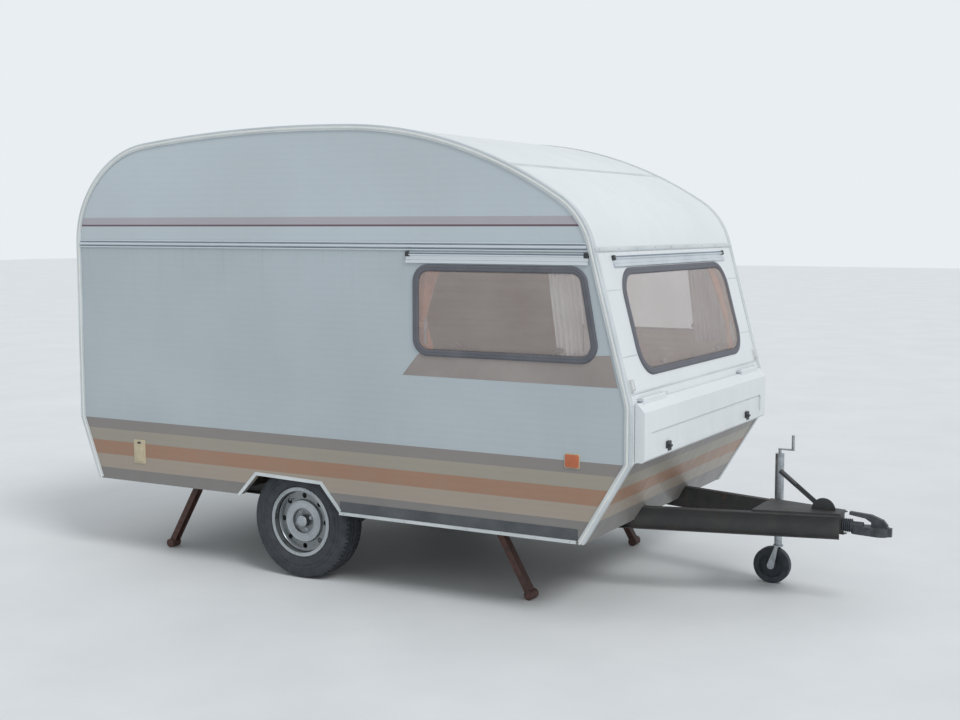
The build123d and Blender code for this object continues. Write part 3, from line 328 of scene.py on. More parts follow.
# Stove-enamelled aluminium sheet, rolled with a shallow rib: even colour in bands, a soft sheen that the
# ribs break into faint lines, road film that thickens towards the bottom, and rain streaks under the rails.
# The same panel's inner face is foiled ply: where the surface faces the middle of the cabin, that is where
# (place - middle) . normal is below 0, the colour is its wood grain.
def enamelledSheet(name, bands, ribbed=True, lined=True):
    material, tree, shader, place = startMaterial(name, {"IOR": 1.5, "Coat Weight": 0.15,
                                                         "Coat Roughness": 0.25})
    height = addNode(tree, "SeparateXYZ", [place]).outputs["Z"]
    share = addNode(tree, "Math", [height, skin["top"]], operation="DIVIDE")
    stops = [(z * mm / skin["top"], tone) for z, tone in bands]
    band = addNode(tree, "ValToRGB", [share], steps=True, stops=stops)
    streaked = addNode(tree, "Mapping", {"Vector": place, "Scale": (9, 9, 1.2)})
    streaks = addNode(tree, "TexNoise", {"Vector": streaked, "Scale": 1.6, "Detail": 7.0, "Roughness": 0.6})
    cloud = addNode(tree, "TexNoise", {"Vector": place, "Scale": 1.1, "Detail": 4.0})
    low = addNode(tree, "MapRange", [height, skin["grimeTop"], 0.4, 0.05, 0.42])
    filmAndShade = addNode(tree, "Math", [low, streaks], operation="MULTIPLY")
    thin = addNode(tree, "Mapping", {"Vector": place, "Scale": (34, 34, 1.5)})
    runs = addNode(tree, "TexNoise", {"Vector": thin, "Scale": 1.0, "Detail": 3.0})
    runs = addNode(tree, "MapRange", [runs, 0.52, 0.72])
    under = addNode(tree, "MapRange", [height, 1.35, skin["belt"], 0.0, 0.16])
    below = addNode(tree, "Math", [height, skin["belt"]], operation="LESS_THAN")
    under = addNode(tree, "Math", [under, below], operation="MULTIPLY")
    runs = addNode(tree, "Math", [runs, under], operation="MULTIPLY")
    filmAndShade = addNode(tree, "Math", [filmAndShade, runs], operation="MAXIMUM")
    dirty = addNode(tree, "Mix", {0: filmAndShade, 6: band, 7: hexColour(skin["grime"])}, data_type="RGBA").outputs[2]
    shade = addNode(tree, "MapRange", [cloud, 0.3, 0.7, 0.93, 1.03])
    colour = addNode(tree, "VectorMath", {0: dirty, "Scale": shade}, operation="SCALE")
    gloss = addNode(tree, "MapRange", [streaks, 0.3, 0.7, 0.34, 0.5])
    turns = addNode(tree, "Math", [height, 2 * pi / skin["ribPitch"]], operation="MULTIPLY")
    wave = addNode(tree, "Math", [turns], operation="SINE")
    ribs = addNode(tree, "Math", [wave, 0.35 if ribbed else 0.0], operation="MULTIPLY")
    orangePeel = addNode(tree, "TexNoise", {"Vector": place, "Scale": 26.0, "Detail": 2.0})
    relief = addNode(tree, "Math", [ribs, orangePeel], operation="ADD")
    bump = addNode(tree, "Bump", {"Height": relief, "Strength": 0.5, "Distance": skin["ribDepth"]})
    if lined:
        fromMiddle = addNode(tree, "VectorMath", [place, skin["middle"]], operation="SUBTRACT")
        normal = place.node.outputs["Normal"]
        facing = addNode(tree, "VectorMath", [fromMiddle, normal], operation="DOT_PRODUCT").outputs["Value"]
        inside = addNode(tree, "Math", [facing, 0.0], operation="LESS_THAN")
        laid = addNode(tree, "Mapping", {"Vector": place, "Scale": (0.06, 0.1, 1)})
        grain = addNode(tree, "TexNoise", {"Vector": laid, "Scale": 1 / skin["liningGrain"], "Detail": 2.5})
        ply = addNode(tree, "ValToRGB", [grain], stops=[(0.35, skin["lining"][0]), (0.65, skin["lining"][1])])
        colour = addNode(tree, "Mix", {0: inside, 6: colour, 7: ply}, data_type="RGBA").outputs[2]
        strength = addNode(tree, "Math", [inside, -0.45, 0.5], operation="MULTIPLY_ADD")
        fill(tree, bump, {"Strength": strength})
    fill(tree, shader, {"Base Color": colour, "Roughness": gloss, "Normal": bump})
    return material


sideSheet = enamelledSheet("enamelledSideSheet", sideBands)
endSheet = enamelledSheet("enamelledEndSheet", endBands, ribbed=False)
lidSheet = enamelledSheet("enamelledLidSheet", endBands, ribbed=False, lined=False)

# Extruded aluminium, anodised: a bright satin line with a fine grain along it
railMetal = mottled("anodisedAluminium", ("#c2c8cd", "#dde2e5"), 0.33, 0.9, 400, (0.05, 1, 1), 0.05, 8)
# The same alloy in cream-white paint, weathered: a chalky edge round the body
edgePaint = mottled("paintedEdgeAluminium", ("#b9bfc1", "#d2d7d9"), 0.42, grain=300, bump=0.06, bumpGrain=10)
# Grey-blue strips laid in the rails' grooves, a dull dark line darker than the rails: painted shadow lines
grooveShadowStrips = mottled("paintedGrooveShadow", ("#7c8895", "#8f9aa6"), 0.6, grain=120, bump=0.08)
# Extruded EPDM rubber, sun-greyed: a dark matt frame with a faint bloom
sealRubber = mottled("weatheredSealRubber", ("#57585f", "#64656c"), 0.62, grain=140, bump=0.12, bumpGrain=4)
# Chassis steel in bitumen paint: near black, lumpy, with dust
chassisPaint = mottled("bitumenPaintedSteel", ("#2e2f31", "#403f3d"), 0.6, grain=90, bump=0.35, bumpGrain=6,
                       worn=("#54443a", 0.08, 110))
# Axle steel in stoved black enamel: smoother than the chassis, rust showing at its chips
axlePaint = mottled("blackEnamelledSteel", ("#28292c", "#3f3f3f"), 0.5, grain=90, bump=0.2, bumpGrain=5,
                    worn=("#52443a", 0.08, 70))
# Pressed steel in old red oxide primer: brown-red, with darker rust
steadyPaint = mottled("redOxideSteel", ("#463330", "#63463e"), 0.72, grain=35, bump=0.4, bumpGrain=5,
                      worn=("#2e2624", 0.1, 25))
# Aluminium strip along the sill in dark grey: an even dull band
sillDark = mottled("darkSillStrip", ("#43474c", "#575a5d"), 0.55, grain=120)
# Grey-green marine ply under the floor: flat, fibrous, road-stained
floorPly = mottled("stainedFloorPly", ("#3a362f", "#554d40"), 0.8, grain=50, stretch=(0.2, 1, 1), bump=0.3)
# Paper-foiled ply of the furniture: mid-brown, long straight grain up each panel
furniturePly = mottled("foiledFurniturePly", ("#8a6647", "#a07a58"), 0.5, grain=60, stretch=(1, 1, 0.06),
                       bumpGrain=4)
# Laminated plastic sheet, pressed: a hard pale top with a close speckle
worktopFoil = mottled("laminateWorktop", ("#c9b48f", "#d6c4a3"), 0.35, grain=8, bump=0.05)
# Moulded ABS, weathered: even, with a dull skin
beigePlastic = mottled("mouldedBeigeAbs", ("#b5a88b", "#c6ba9e"), 0.45, grain=60)
whitePlastic = mottled("mouldedWhiteAbs", ("#d5d8d5", "#dee0dd"), 0.42, grain=60)
# Moulded nylon, black: small dark parts with a low sheen
darkPlastic = mottled("mouldedBlackNylon", ("#2a2c2f", "#383a3d"), 0.48, grain=40, bump=0.12)
# Pressed steel wheel in silver lacquer: soft metallic sheen, with painted shade darkening the dish, nave and
# barrel
wheelPaintedShade = [(0, "#c4c4c2"), (64, "#c4c4c2"), (70, "#ffffff"), (118, "#ffffff"), (123, "#c8c8c6"),
             (158, "#c8c8c6"), (164, "#ffffff"), (170, "#b4b4b1"), (173.5, "#b4b4b1"), (176, "#ffffff")]
wheelSilver = mottled("silverLacqueredSteel", ("#9ea3a7", "#b2b7bb"), 0.3, 0.7, 90, bumpGrain=4, coat=0.2,
                      worn=("#7d7c78", 0.0, 30), filmAndShade=wheelPaintedShade)
# Cast steel, painted dark grey: rough skin
castPaint = mottled("paintedCastSteel", ("#3b3e41", "#54575a"), 0.55, 0.3, 30, bump=0.5, bumpGrain=4,
                    worn=("#54473d", 0.06, 35))
# Steel lever in black gloss paint, handled: worn to a grey at its highs
darkPaint = mottled("blackPaintedSteel", ("#26282a", "#36383a"), 0.42, grain=50, bump=0.15,
                    worn=("#77726a", 0.0, 18))
# Zinc-plated steel: dull grey-silver with white bloom
zincPlate = mottled("zincPlatedSteel", ("#8f959a", "#b9bec2"), 0.4, 0.85, 25, worn=("#d3d4d0", 0.04, 16))
# Moulded tyre rubber: near black, matt, dusty in the grooves
tyreRubber = mottled("vulcanisedTyreRubber", ("#2c2f34", "#43474c"), 0.78, grain=50, bump=0.25)


# Blown acrylic sheet, bronze tint: shows the cabin through it, darker than open air, with a wet gloss. Its
# pale tone is partly the sheet's tint and partly painted reflection of the pale sky.
def tintedAcrylic(name, tintAndSkyReflection, alpha):
    material, tree, shader, place = startMaterial(name, {"IOR": 1.49, "Alpha": alpha, "Coat Weight": 0.4,
                                                         "Coat Roughness": 0.08})
    haze = addNode(tree, "TexNoise", {"Vector": place, "Scale": 5.0, "Detail": 4.0})
    gloss = addNode(tree, "MapRange", [haze, 0.3, 0.7, 0.08, 0.2])
    tone = addNode(tree, "ValToRGB", [haze], stops=[(0.3, tintAndSkyReflection[0]), (0.7, tintAndSkyReflection[1])])
    wave = addNode(tree, "Bump", {"Height": haze, "Strength": 0.15, "Distance": 0.002})
    fill(tree, shader, {"Base Color": tone, "Roughness": gloss, "Normal": wave})
    return material


windowAcrylic = tintedAcrylic("bronzeBlownAcrylic", ("#c8bab5", "#d2c6c1"), 0.3)


# Sine of each coordinate at a pitch: the sum of the X and Y waves, and the Z wave
def crossWaves(tree, parts, pitch):
    waves = []
    for axis in "XYZ":
        turns = addNode(tree, "Math", [parts.outputs[axis], 2 * pi / pitch], operation="MULTIPLY")
        waves.append(addNode(tree, "Math", [turns], operation="SINE"))
    return addNode(tree, "Math", waves[:2], operation="ADD"), waves[2]


# Moulded acrylic lens over a reflector: strong colour, gloss, and rows of small prisms 6 mm apart, which
# is coarser than the real ones so that they show. Bands run along Y where there is more than one colour.
def lensAcrylic(name, bands):
    material, tree, shader, place = startMaterial(name, {"IOR": 1.49, "Roughness": 0.16, "Coat Weight": 0.6,
                                                         "Transmission Weight": 0.15})
    parts = addNode(tree, "SeparateXYZ", [place])
    out = addNode(tree, "Math", [parts.outputs["Y"]], operation="ABSOLUTE")
    glow = addNode(tree, "TexNoise", {"Vector": place, "Scale": 40.0})
    tone = addNode(tree, "ValToRGB", [out], steps=True, stops=bands)
    depth = addNode(tree, "MapRange", {0: glow, 3: 0.75, 4: 1.2})
    varied = addNode(tree, "VectorMath", {0: tone, "Scale": depth}, operation="SCALE")
    prisms = addNode(tree, "Math", crossWaves(tree, parts, 6 * mm), operation="ADD")
    bump = addNode(tree, "Bump", {"Height": prisms, "Strength": 0.4, "Distance": 0.0005})
    fill(tree, shader, {"Base Color": varied, "Normal": bump})
    return material


amberLens = lensAcrylic("amberAcrylicLens", [(0.0, "#c8673a"), (1.0, "#c8673a")])
clearLens = lensAcrylic("clearAcrylicLens", [(0.0, "#d9dcdc"), (1.0, "#d9dcdc")])
rearLens = lensAcrylic("rearAcrylicLens", [(0.0, "#d9dcdc"), (0.66, "#a3201c"), (0.82, "#c8673a")])


# Woven cloth: two threads crossing at a pitch, drawn three times coarser than real so that it shows,
# with cloudy fading and a soft sheen
def wovenCloth(name, tones, pitch, alpha=1.0, sheen=0.3):
    values = {"Roughness": 0.85, "Sheen Weight": sheen, "IOR": 1.45, "Alpha": alpha}
    material, tree, shader, place = startMaterial(name, values)
    parts = addNode(tree, "SeparateXYZ", [place])
    threads = addNode(tree, "Math", crossWaves(tree, parts, pitch), operation="MULTIPLY")
    cloud = addNode(tree, "TexNoise", {"Vector": place, "Scale": 9.0, "Detail": 5.0})
    mixed = addNode(tree, "Math", [threads, 0.12, cloud], operation="MULTIPLY_ADD")
    tone = addNode(tree, "ValToRGB", [mixed], stops=[(0.3, tones[0]), (0.7, tones[1])])
    bump = addNode(tree, "Bump", {"Height": threads, "Strength": 0.4, "Distance": 0.0008})
    fill(tree, shader, {"Base Color": tone, "Normal": bump})
    return material


# Rust-orange cotton curtain, sun-faded
curtainCloth = wovenCloth("orangeCottonCurtain", ("#d98a5a", "#eda878"), 6 * mm)
# Polyester net, off-white: thin, so that some of the cabin shows through it
netCloth = wovenCloth("polyesterNet", ("#e6e7ea", "#f4f5f6"), 8 * mm, alpha=0.9, sheen=0.1)
# Brown moquette on foam
seatCloth = wovenCloth("brownMoquette", ("#6b4a34", "#8a6448"), 9 * mm, sheen=0.5)
print("materials made")

# Which finish each node that stays takes
finishes = {
    sideSheet: ["side_wall_left", "side_wall_right", "door_leaf"],
    endSheet: ["front_wall", "rear_wall", "roof"],
    lidSheet: ["locker_lid"],
    edgePaint: ["edge_mouldings", "arch_trims", "door_trim", "sill_rails"],
    railMetal: ["locker_hinges"],
    sillDark: ["sill_strips"],
    chassisPaint: ["chassis_rails", "cross_members", "drawbar_plate"],
    axlePaint: ["axle_beam", "stub_arms"],
    steadyPaint: ["steady_brackets", "steady_left_front", "steady_left_rear", "steady_right_front",
                  "steady_right_rear"],
    floorPly: ["floor", "wheel_boxes"],
    furniturePly: ["bench_boxes", "wardrobe", "kitchen_unit"],
    beigePlastic: ["inlet_hatch"],
    whitePlastic: ["locker_tub", "roof_vent_base"],
    wheelSilver: ["rim_left", "rim_right"],
    castPaint: ["coupling_head", "drum_left", "drum_right"],
    darkPaint: ["handbrake_lever"],
    zincPlate: ["jockey_tube", "jockey_stem", "jockey_fork"],
    tyreRubber: ["jockey_wheel"]}
for material, names in finishes.items():
    for name in names:
        for held in nodes[name].material_slots:
            held.material = material


# An object turned so that one of its axes points in a direction
def addAimed(name, data, direction, axis):
    thing = bpy.data.objects.new(name, data)
    thing.rotation_mode = "QUATERNION"
    thing.rotation_quaternion = direction.to_track_quat(axis, "Y")
    scene.collection.objects.link(thing)
    return thing


# Camera where the photographer stood, turned to hold the whole caravan
camera = {"place": (3.772, -6.945, 1.947), "aim": (-0.035, -0.091, 1.18), "lens": 51.0, "sensor": 36.0}
lensData = bpy.data.cameras.new("camera")
lensData.lens, lensData.sensor_width = camera["lens"], camera["sensor"]
eye = addAimed("camera", lensData, Vector(camera["aim"]) - Vector(camera["place"]), "-Z")
eye.location = camera["place"]
scene.camera = eye

# Light: a pale sky all round and a soft key from ahead and above, so that the front is brighter
light = {"sky": "#e9eef2", "ambient": 0.75, "shown": 1.0, "key": 1.35, "softness": 22,
         "from": (0.85, -0.42, 0.95)}
world = bpy.data.worlds.new("paleSky")
world.use_nodes = True
scene.world = world
sky = world.node_tree
sky.nodes.clear()
ray = addNode(sky, "LightPath").outputs
seen = addNode(sky, "Math", [ray["Is Camera Ray"], ray["Is Glossy Ray"]], operation="ADD")
seen = addNode(sky, "Math", [seen, ray["Is Transmission Ray"]], operation="ADD", use_clamp=True)
power = addNode(sky, "MapRange", {0: seen, 3: light["ambient"], 4: light["shown"]})
glow = addNode(sky, "Background", {"Color": hexColour(light["sky"]), "Strength": power})
addNode(sky, "OutputWorld", {"Surface": glow})
keyData = bpy.data.lights.new("key", "SUN")
keyData.energy, keyData.angle = light["key"], radians(light["softness"])
addAimed("key", keyData, Vector(light["from"]), "Z")
scene.view_settings.view_transform = "Standard"

floorSize = 60.0
floorPaint = mottled("paleStudioFloor", ("#dcdfe0", "#e3e5e6"), 0.7, grain=900, bump=0.02, bumpGrain=30)
floorMesh = bpy.data.meshes.new("studioFloor")
floorCorners = rectangle(-floorSize, floorSize, -floorSize, floorSize).tolist()
floorMesh.from_pydata([(x, y, 0) for x, y in floorCorners], [], [(0, 1, 2, 3)])
floorMesh.materials.append(floorPaint)
studioFloor = bpy.data.objects.new("studioFloor", floorMesh)
scene.collection.objects.link(studioFloor)
print("camera, light and floor made")

# Windows: rubber seal carried round the opening and a crowned pane within it
windowSet = {"sealWide": 35 * mm, "crown": 12.5 * mm, "crownShare": 0.06, "sheet": 3 * mm,
             "paneLow": 3.4 * mm, "backLow": 0.4 * mm, "cornerSteps": 14}
sealSection = np.array([(0, 0), (-0.5, 4), (-4, 8.2), (-9, 9.8), (-14, 10), (-17, 8.4), (-19, 8.4),
                        (-22, 9.8), (-28, 9.4), (-33, 7.4), (-35, 4.4), (-35, 0)]) * mm
# How a pane swells towards its middle: share of the plan and share of the crown
swell = ((0.96, 0.86), (0.85, 0.94), (0.6, 0.99), (0.3, 1.0), (0.01, 1.0))
sideLow, sideHigh = span("side_window_seals")
sideLean = 86 * mm
frontLow, frontHigh = span("front_window_seal")
rearLow, rearHigh = span("rear_window_seal")
doorLow, doorHigh = span("door_window_seal")
sideFoot = noseX - 154 * mm
frontHeadZ = 1.745
sideCorners = np.array([(sideLow[0], sideLow[2]), (sideFoot, sideLow[2]), (sideFoot - sideLean, sideHigh[2]),
                        (sideLow[0], sideHigh[2])])
frontCorners = rectangle(frontLow[1], frontHigh[1], upRake(1.215), upRake(frontHeadZ))
rearCorners = rectangle(-rearHigh[1], -rearLow[1], rearLow[2], rearHigh[2])
doorCorners = rectangle(doorLow[0], doorHigh[0], doorLow[2], doorHigh[2])
windowRows = [  # name, wall, body, corners, corner radius, seal node, pane node
    ("offsideWindow", "offside", "caravan", sideCorners, 0.090, "side_window_seals", "side_window_panes"),
    ("nearsideWindow", "nearside", "caravan", sideCorners, 0.090, "side_window_seals", "side_window_panes"),
    ("frontWindow", "front", "caravan", frontCorners, 0.150, "front_window_seal", "front_window_pane"),
    ("rearWindow", "rear", "caravan", rearCorners, 0.080, "rear_window_seal", "rear_window_pane"),
    ("doorWindow", "nearside", "door", doorCorners, 0.050, "door_window_seal", "door_window_pane")]
for name, wall, body, corners, radius, sealNode, paneNode in windowRows:
    loop = roundedLoop(corners, radius, windowSet["cornerSteps"])
    normals = loopNormals(loop)
    first, second, facing = walls[wall][1:]
    outward = normals[:, :1] * first + normals[:, 1:] * second
    seal = sweep(onWall(wall, loop), outward, facing, sealSection, wrap=True)
    makePiece(name + "Seal", [seal], sealRubber, body, [sealNode])
    crown = min(windowSet["crown"], windowSet["crownShare"] * np.ptp(loop[:, 1]))
    edge, paneLow = windowSet["sealWide"], windowSet["paneLow"]
    face = [(edge, 1, paneLow), (edge + 4 * mm, 1, 0.5 * crown), (edge + 10 * mm, 1, 0.72 * crown)]
    face += [(0.6 * radius, share, height * crown) for share, height in swell]
    back = [(inset, share, max(height - windowSet["sheet"], windowSet["backLow"]))
            for inset, share, height in face]
    pane = ringPanel(wall, loop, face[::-1] + back)
    makePiece(name + "Pane", [pane], windowAcrylic, body, [paneNode])

# Behind each opening pane: two catches on its foot and a stay at either side, seen through the acrylic
catchSet = {"wide": 58 * mm, "tall": 26 * mm, "rise": 44 * mm, "back": -30 * mm, "front": -8 * mm,
            "share": 0.27, "stayIn": 62 * mm, "stayHalf": 5 * mm, "stayLow": 60 * mm, "stayHigh": 190 * mm}
catches, stays = [], []
for name, wall, body, corners in (row[:4] for row in windowRows):
    if body == "door":
        continue
    low, high = corners.min(0), corners.max(0)
    middle, wide = (low[0] + high[0]) / 2, high[0] - low[0]
    foot = low[1] + catchSet["rise"]
    for u in (middle - catchSet["share"] * wide, middle + catchSet["share"] * wide):
        box = rectangle(u - catchSet["wide"] / 2, u + catchSet["wide"] / 2, foot, foot + catchSet["tall"])
        catches.append(plate(wall, box, 8 * mm, catchSet["front"], 4 * mm, low=catchSet["back"]))
    lean = (sideLean if "side" in name else 0) / 2
    for u in (low[0] + catchSet["stayIn"], high[0] - catchSet["stayIn"] - lean):
        box = rectangle(u - catchSet["stayHalf"], u + catchSet["stayHalf"], low[1] + catchSet["stayLow"],
                        low[1] + catchSet["stayHigh"])
        stays.append(plate(wall, box, 4 * mm, catchSet["front"] - 6 * mm, 3 * mm,
                           low=catchSet["back"] + 6 * mm))
makePiece("windowCatches", catches, darkPlastic)
makePiece("windowStays", stays, zincPlate)
print("windows made")

# Rails: the belt rail along each side and the rail each window hangs from, in one bright section.
# Sections here are in millimetres: the first number up the wall, the second out from it.
beltLow, beltHigh = span("belt_rails")
railSet = {"capLong": 24 * mm, "frontGap": 29 * mm / cos(rake), "doorRear": -1.755, "doorFront": -1.115,
           "tail": 28.5 * mm, "capPast": 2 * mm, "grooveApart": 11, "grooveDeep": 3}
beltSection = np.array([(-22, 0), (-22, 5), (-20, 7), (-15, 7), (-13.5, 3), (-8.5, 3), (-7.5, 10), (-5, 13),
                        (0, 13.8), (5, 13), (7.5, 10), (8.5, 3), (13.5, 3), (15, 7), (20, 7), (22, 5),
                        (22, 0)])
grooveSection = np.array([(-2.6, 0), (-2.6, 1.6), (2.6, 1.6), (2.6, 0)])
hangTop = [(1.5, 11.5), (5, 13.4), (8.5, 12.6), (9.5, 6), (14.5, 6), (15.5, 10), (17, 11.5), (19, 11),
           (20, 8), (20, 0)]
beltZ = (beltLow[2] + beltHigh[2]) / 2
beltFront = noseX - (beltZ - noseTopZ) * tan(rake) - railSet["frontGap"]
beltRear = tailX + railSet["tail"]
beltRows = [  # wall, rear end, front end, whether the front end follows the raked front
    ("offside", beltRear, beltFront, True), ("nearside", beltRear, railSet["doorRear"], False),
    ("nearside", railSet["doorFront"], beltFront, True)]
belts, grooves = [], []
for wall, tail, head, slanted in beltRows:
    first, second, facing = walls[wall][1:]
    across = np.array([second, second - first * (tan(rake) if slanted else 0.0)])
    path = onWall(wall, [(tail, beltZ), (head, beltZ)])
    belts.append(sweep(path, across, facing, beltSection * mm))
    for shift in (-railSet["grooveApart"], railSet["grooveApart"]):
        grooves.append(sweep(path, across, facing, (grooveSection + (shift, railSet["grooveDeep"])) * mm))
makePiece("beltRails", belts, railMetal, replaced=["belt_rails"], sharp=20)
# Painted shadow: grey-blue strips in the belt rails' grooves
makePiece("beltGrooveShadows", grooves, grooveShadowStrips)

hangZ = span("window_hinge_rails")[1][2] - 20 * mm
sideEnds = (sideLow[0] - 38 * mm, sideFoot - sideLean + 16 * mm)
hangRows = [  # wall, low end, high end and height on the wall in metres, drop of the pane's own strip in mm
    ("offside", *sideEnds, hangZ, 38), ("nearside", *sideEnds, hangZ, 38),
    ("front", frontLow[1] - 35 * mm, frontHigh[1] + 35 * mm, upRake(frontHeadZ) + 43 * mm, 38),
    ("rear", rearLow[1] - 20 * mm, rearHigh[1] + 20 * mm, rearHigh[2] + 20 * mm, 16)]
hangers, caps, hangGrooves = [], [], []
for wall, low, high, v, drop in hangRows:
    second, facing = walls[wall][2:]
    path = onWall(wall, [(low, v), (high, v)])
    lip = min(18, drop - 4)
    strip = [(-drop, 0), (-drop, 7), (1.5 - drop, 9.5), (lip - drop - 2, 10), (lip - drop, 8),
             (lip + 1 - drop, 4), (0, 4)]
    hangers.append(sweep(path, second, facing, np.array(strip + hangTop) * mm))
    hangGrooves.append(sweep(path, second, facing, (grooveSection * (0.9, 1) + (12, 6)) * mm))
    for u in (low - railSet["capPast"], high - railSet["capLong"] + railSet["capPast"]):
        corners = rectangle(u, u + railSet["capLong"], v - 4 * mm, v + 22 * mm)
        caps.append(plate(wall, corners, 4 * mm, 13.8 * mm, 3 * mm))
makePiece("windowHangers", hangers, railMetal, replaced=["window_hinge_rails"], sharp=20)
# Painted shadow: a grey-blue strip in each hanger rail's groove
makePiece("hangerGrooveShadows", hangGrooves, grooveShadowStrips)
makePiece("hangerCaps", caps, darkPlastic)
print("rails made")

# The body's outline in X and Z: rear foot, knee, shoulder, five tangent arcs, brow, nose and front foot.
# Each arc is its radius in metres and its turn in degrees.
bodyShape = {"rearTuck": 0.136, "rearFoot": 0.450, "knee": 0.811, "shoulder": 1.843, "noseBottom": 0.810,
             "noseFoot": 0.403, "undercut": 31,
             "arcs": [(0.5265, 28.9), (0.631, 54.4), (9.341, 8.8), (2.3946, 30.6), (0.4076, 42.3)]}


# Arc points: centre + (radius - inset) * (cos, sin), the heading turning right from one arc to the next
def outline(inset, steps=14):
    shape = bodyShape
    x, z, heading = tailX, shape["shoulder"], 90.0
    arcs = []
    for radius, turn in shape["arcs"]:
        right = radians(heading - 90)
        centre = np.array([x + radius * cos(right), z + radius * sin(right)])
        angle = np.radians(heading + 90 - turn * np.linspace(0, 1, steps))
        arcs.append(centre + (radius - inset) * np.stack([np.cos(angle), np.sin(angle)], 1))
        x, z = centre[0] + radius * cos(angle[-1]), centre[1] + radius * sin(angle[-1])
        heading -= turn
    slope = radians(shape["undercut"])
    kneeLean = np.arctan2(shape["rearTuck"], shape["knee"] - shape["rearFoot"])
    footX = noseX - (shape["noseBottom"] - shape["noseFoot"]) * tan(slope)
    rear = [(tailX + shape["rearTuck"] + inset / cos(kneeLean), shape["rearFoot"]),
            (tailX + inset, shape["knee"] + inset * tan(kneeLean / 2))]
    front = [(noseX - inset, noseTopZ - inset * tan(rake / 2)),
             (noseX - inset, shape["noseBottom"] + inset * tan(slope / 2)),
             (footX - inset / cos(slope), shape["noseFoot"])]
    return np.concatenate([rear, *arcs, front])


# Edge trims: a soft insert along each moulding and a round lip on the corner, both following the outline
trimSet = {"insertInset": 14 * mm, "insertHigh": 6 * mm, "lipInset": -1 * mm, "lipHigh": 3 * mm,
           "lipRadius": 4 * mm}
insertSection = np.array([(-6, 0), (-5.4, 1.2), (-3.5, 2.2), (0, 2.6), (3.5, 2.2), (5.4, 1.2), (6, 0)]) * mm
trims, lips = [], []
trimRows = [(trimSet["insertInset"], trimSet["insertHigh"], insertSection, trims),
            (trimSet["lipInset"], trimSet["lipHigh"], circle(trimSet["lipRadius"], 8), lips)]
for side in (-1, 1):
    for inset, high, profile, target in trimRows:
        flat = outline(inset)
        along = tangents(flat)
        outward = np.stack([-along[:, 1], np.zeros(len(flat)), along[:, 0]], 1)
        path = np.stack([flat[:, 0], np.full(len(flat), side * (wallOut + high)), flat[:, 1]], 1)
        target.append(sweep(path, outward, (0.0, side, 0.0), profile))
makePiece("edgeInserts", trims, whitePlastic)
makePiece("edgeLips", lips, railMetal)

# Cross mouldings and seams on the ends: wall, low end, high end and height on the wall in metres, then
# width and stand in millimetres
crossSection = np.array([(-0.5, 0), (-0.5, 0.4), (-0.38, 0.8), (-0.15, 1), (0.15, 1), (0.38, 0.8),
                         (0.5, 0.4), (0.5, 0)])
endHalf = wallOut - 1 * mm
browZ, crossZ = 1.838, 1.835
crossRows = [("front", -endHalf, endHalf, upRake(browZ), 26, 8), ("rear", -endHalf, endHalf, crossZ, 26, 8),
             ("front", -endHalf, endHalf, upRake(1.150), 12, 3)]
seamSides = ((-endHalf, -0.785), (0.785, endHalf))
for z in (1.325, 1.643):
    crossRows += [("front", low, high, upRake(z), 6, 1.6) for low, high in seamSides]
crossRows += [("rear", -endHalf, endHalf, 1.180, 12, 3), ("rear", -endHalf, -0.61, 1.500, 6, 1.6),
              ("rear", 0.61, endHalf, 1.500, 6, 1.6)]
crosses = []
for wall, low, high, v, wide, stand in crossRows:
    path = onWall(wall, [(low, v), (high, v)])
    crosses.append(sweep(path, walls[wall][2], walls[wall][3], crossSection * (wide * mm, stand * mm)))
makePiece("crossMouldings", crosses, edgePaint)

# Sealing strips over the joints of the roof sheets: straight across, square to the outline at each place
roofSeams = {"places": (-1.72, -0.42, 0.62), "wide": 34, "stand": 1.6, "half": wallOut - 16 * mm,
             "sunk": 0.4 * mm}
ridge = outline(0, 40)[2:-3]
seams = []
for x in roofSeams["places"]:
    i = int(np.searchsorted(ridge[:, 0], x))
    share = (x - ridge[i - 1, 0]) / (ridge[i, 0] - ridge[i - 1, 0])
    z = ridge[i - 1, 1] + share * (ridge[i, 1] - ridge[i - 1, 1])
    along = (ridge[i] - ridge[i - 1]) / np.linalg.norm(ridge[i] - ridge[i - 1])
    path = [(x, -roofSeams["half"], z), (x, roofSeams["half"], z)]
    profile = crossSection * (roofSeams["wide"] * mm, roofSeams["stand"] * mm) + (0, -roofSeams["sunk"])
    seams.append(sweep(path, (along[0], 0, along[1]), (-along[1], 0, along[0]), profile))
makePiece("roofSeams", seams, edgePaint)
print("mouldings made")

# Brown panel under the side window: a thin self-adhesive film on each side, its corners in millimetres
# forward of the axle and above the road
patchFilm = mottled("brownVinylFilm", ("#8d8581", "#9e9692"), 0.48, grain=500, bump=0.03)
patchCorners = np.array([(714, 1183), (1926, 1181), (1886, 1336), (1800, 1330), (820, 1300), (800, 1285)])
patchCorners = patchCorners * mm + (axleX, 0)
patches = []
for wall in ("offside", "nearside"):
    points = np.concatenate([onWall(wall, patchCorners, height) for height in (0.5 * mm, -0.2 * mm)])
    count = len(patchCorners)
    patches.append((points, gridFaces(2, count, False, True) + endCaps(2, count)))
makePiece("windowPatches", patches, patchFilm)

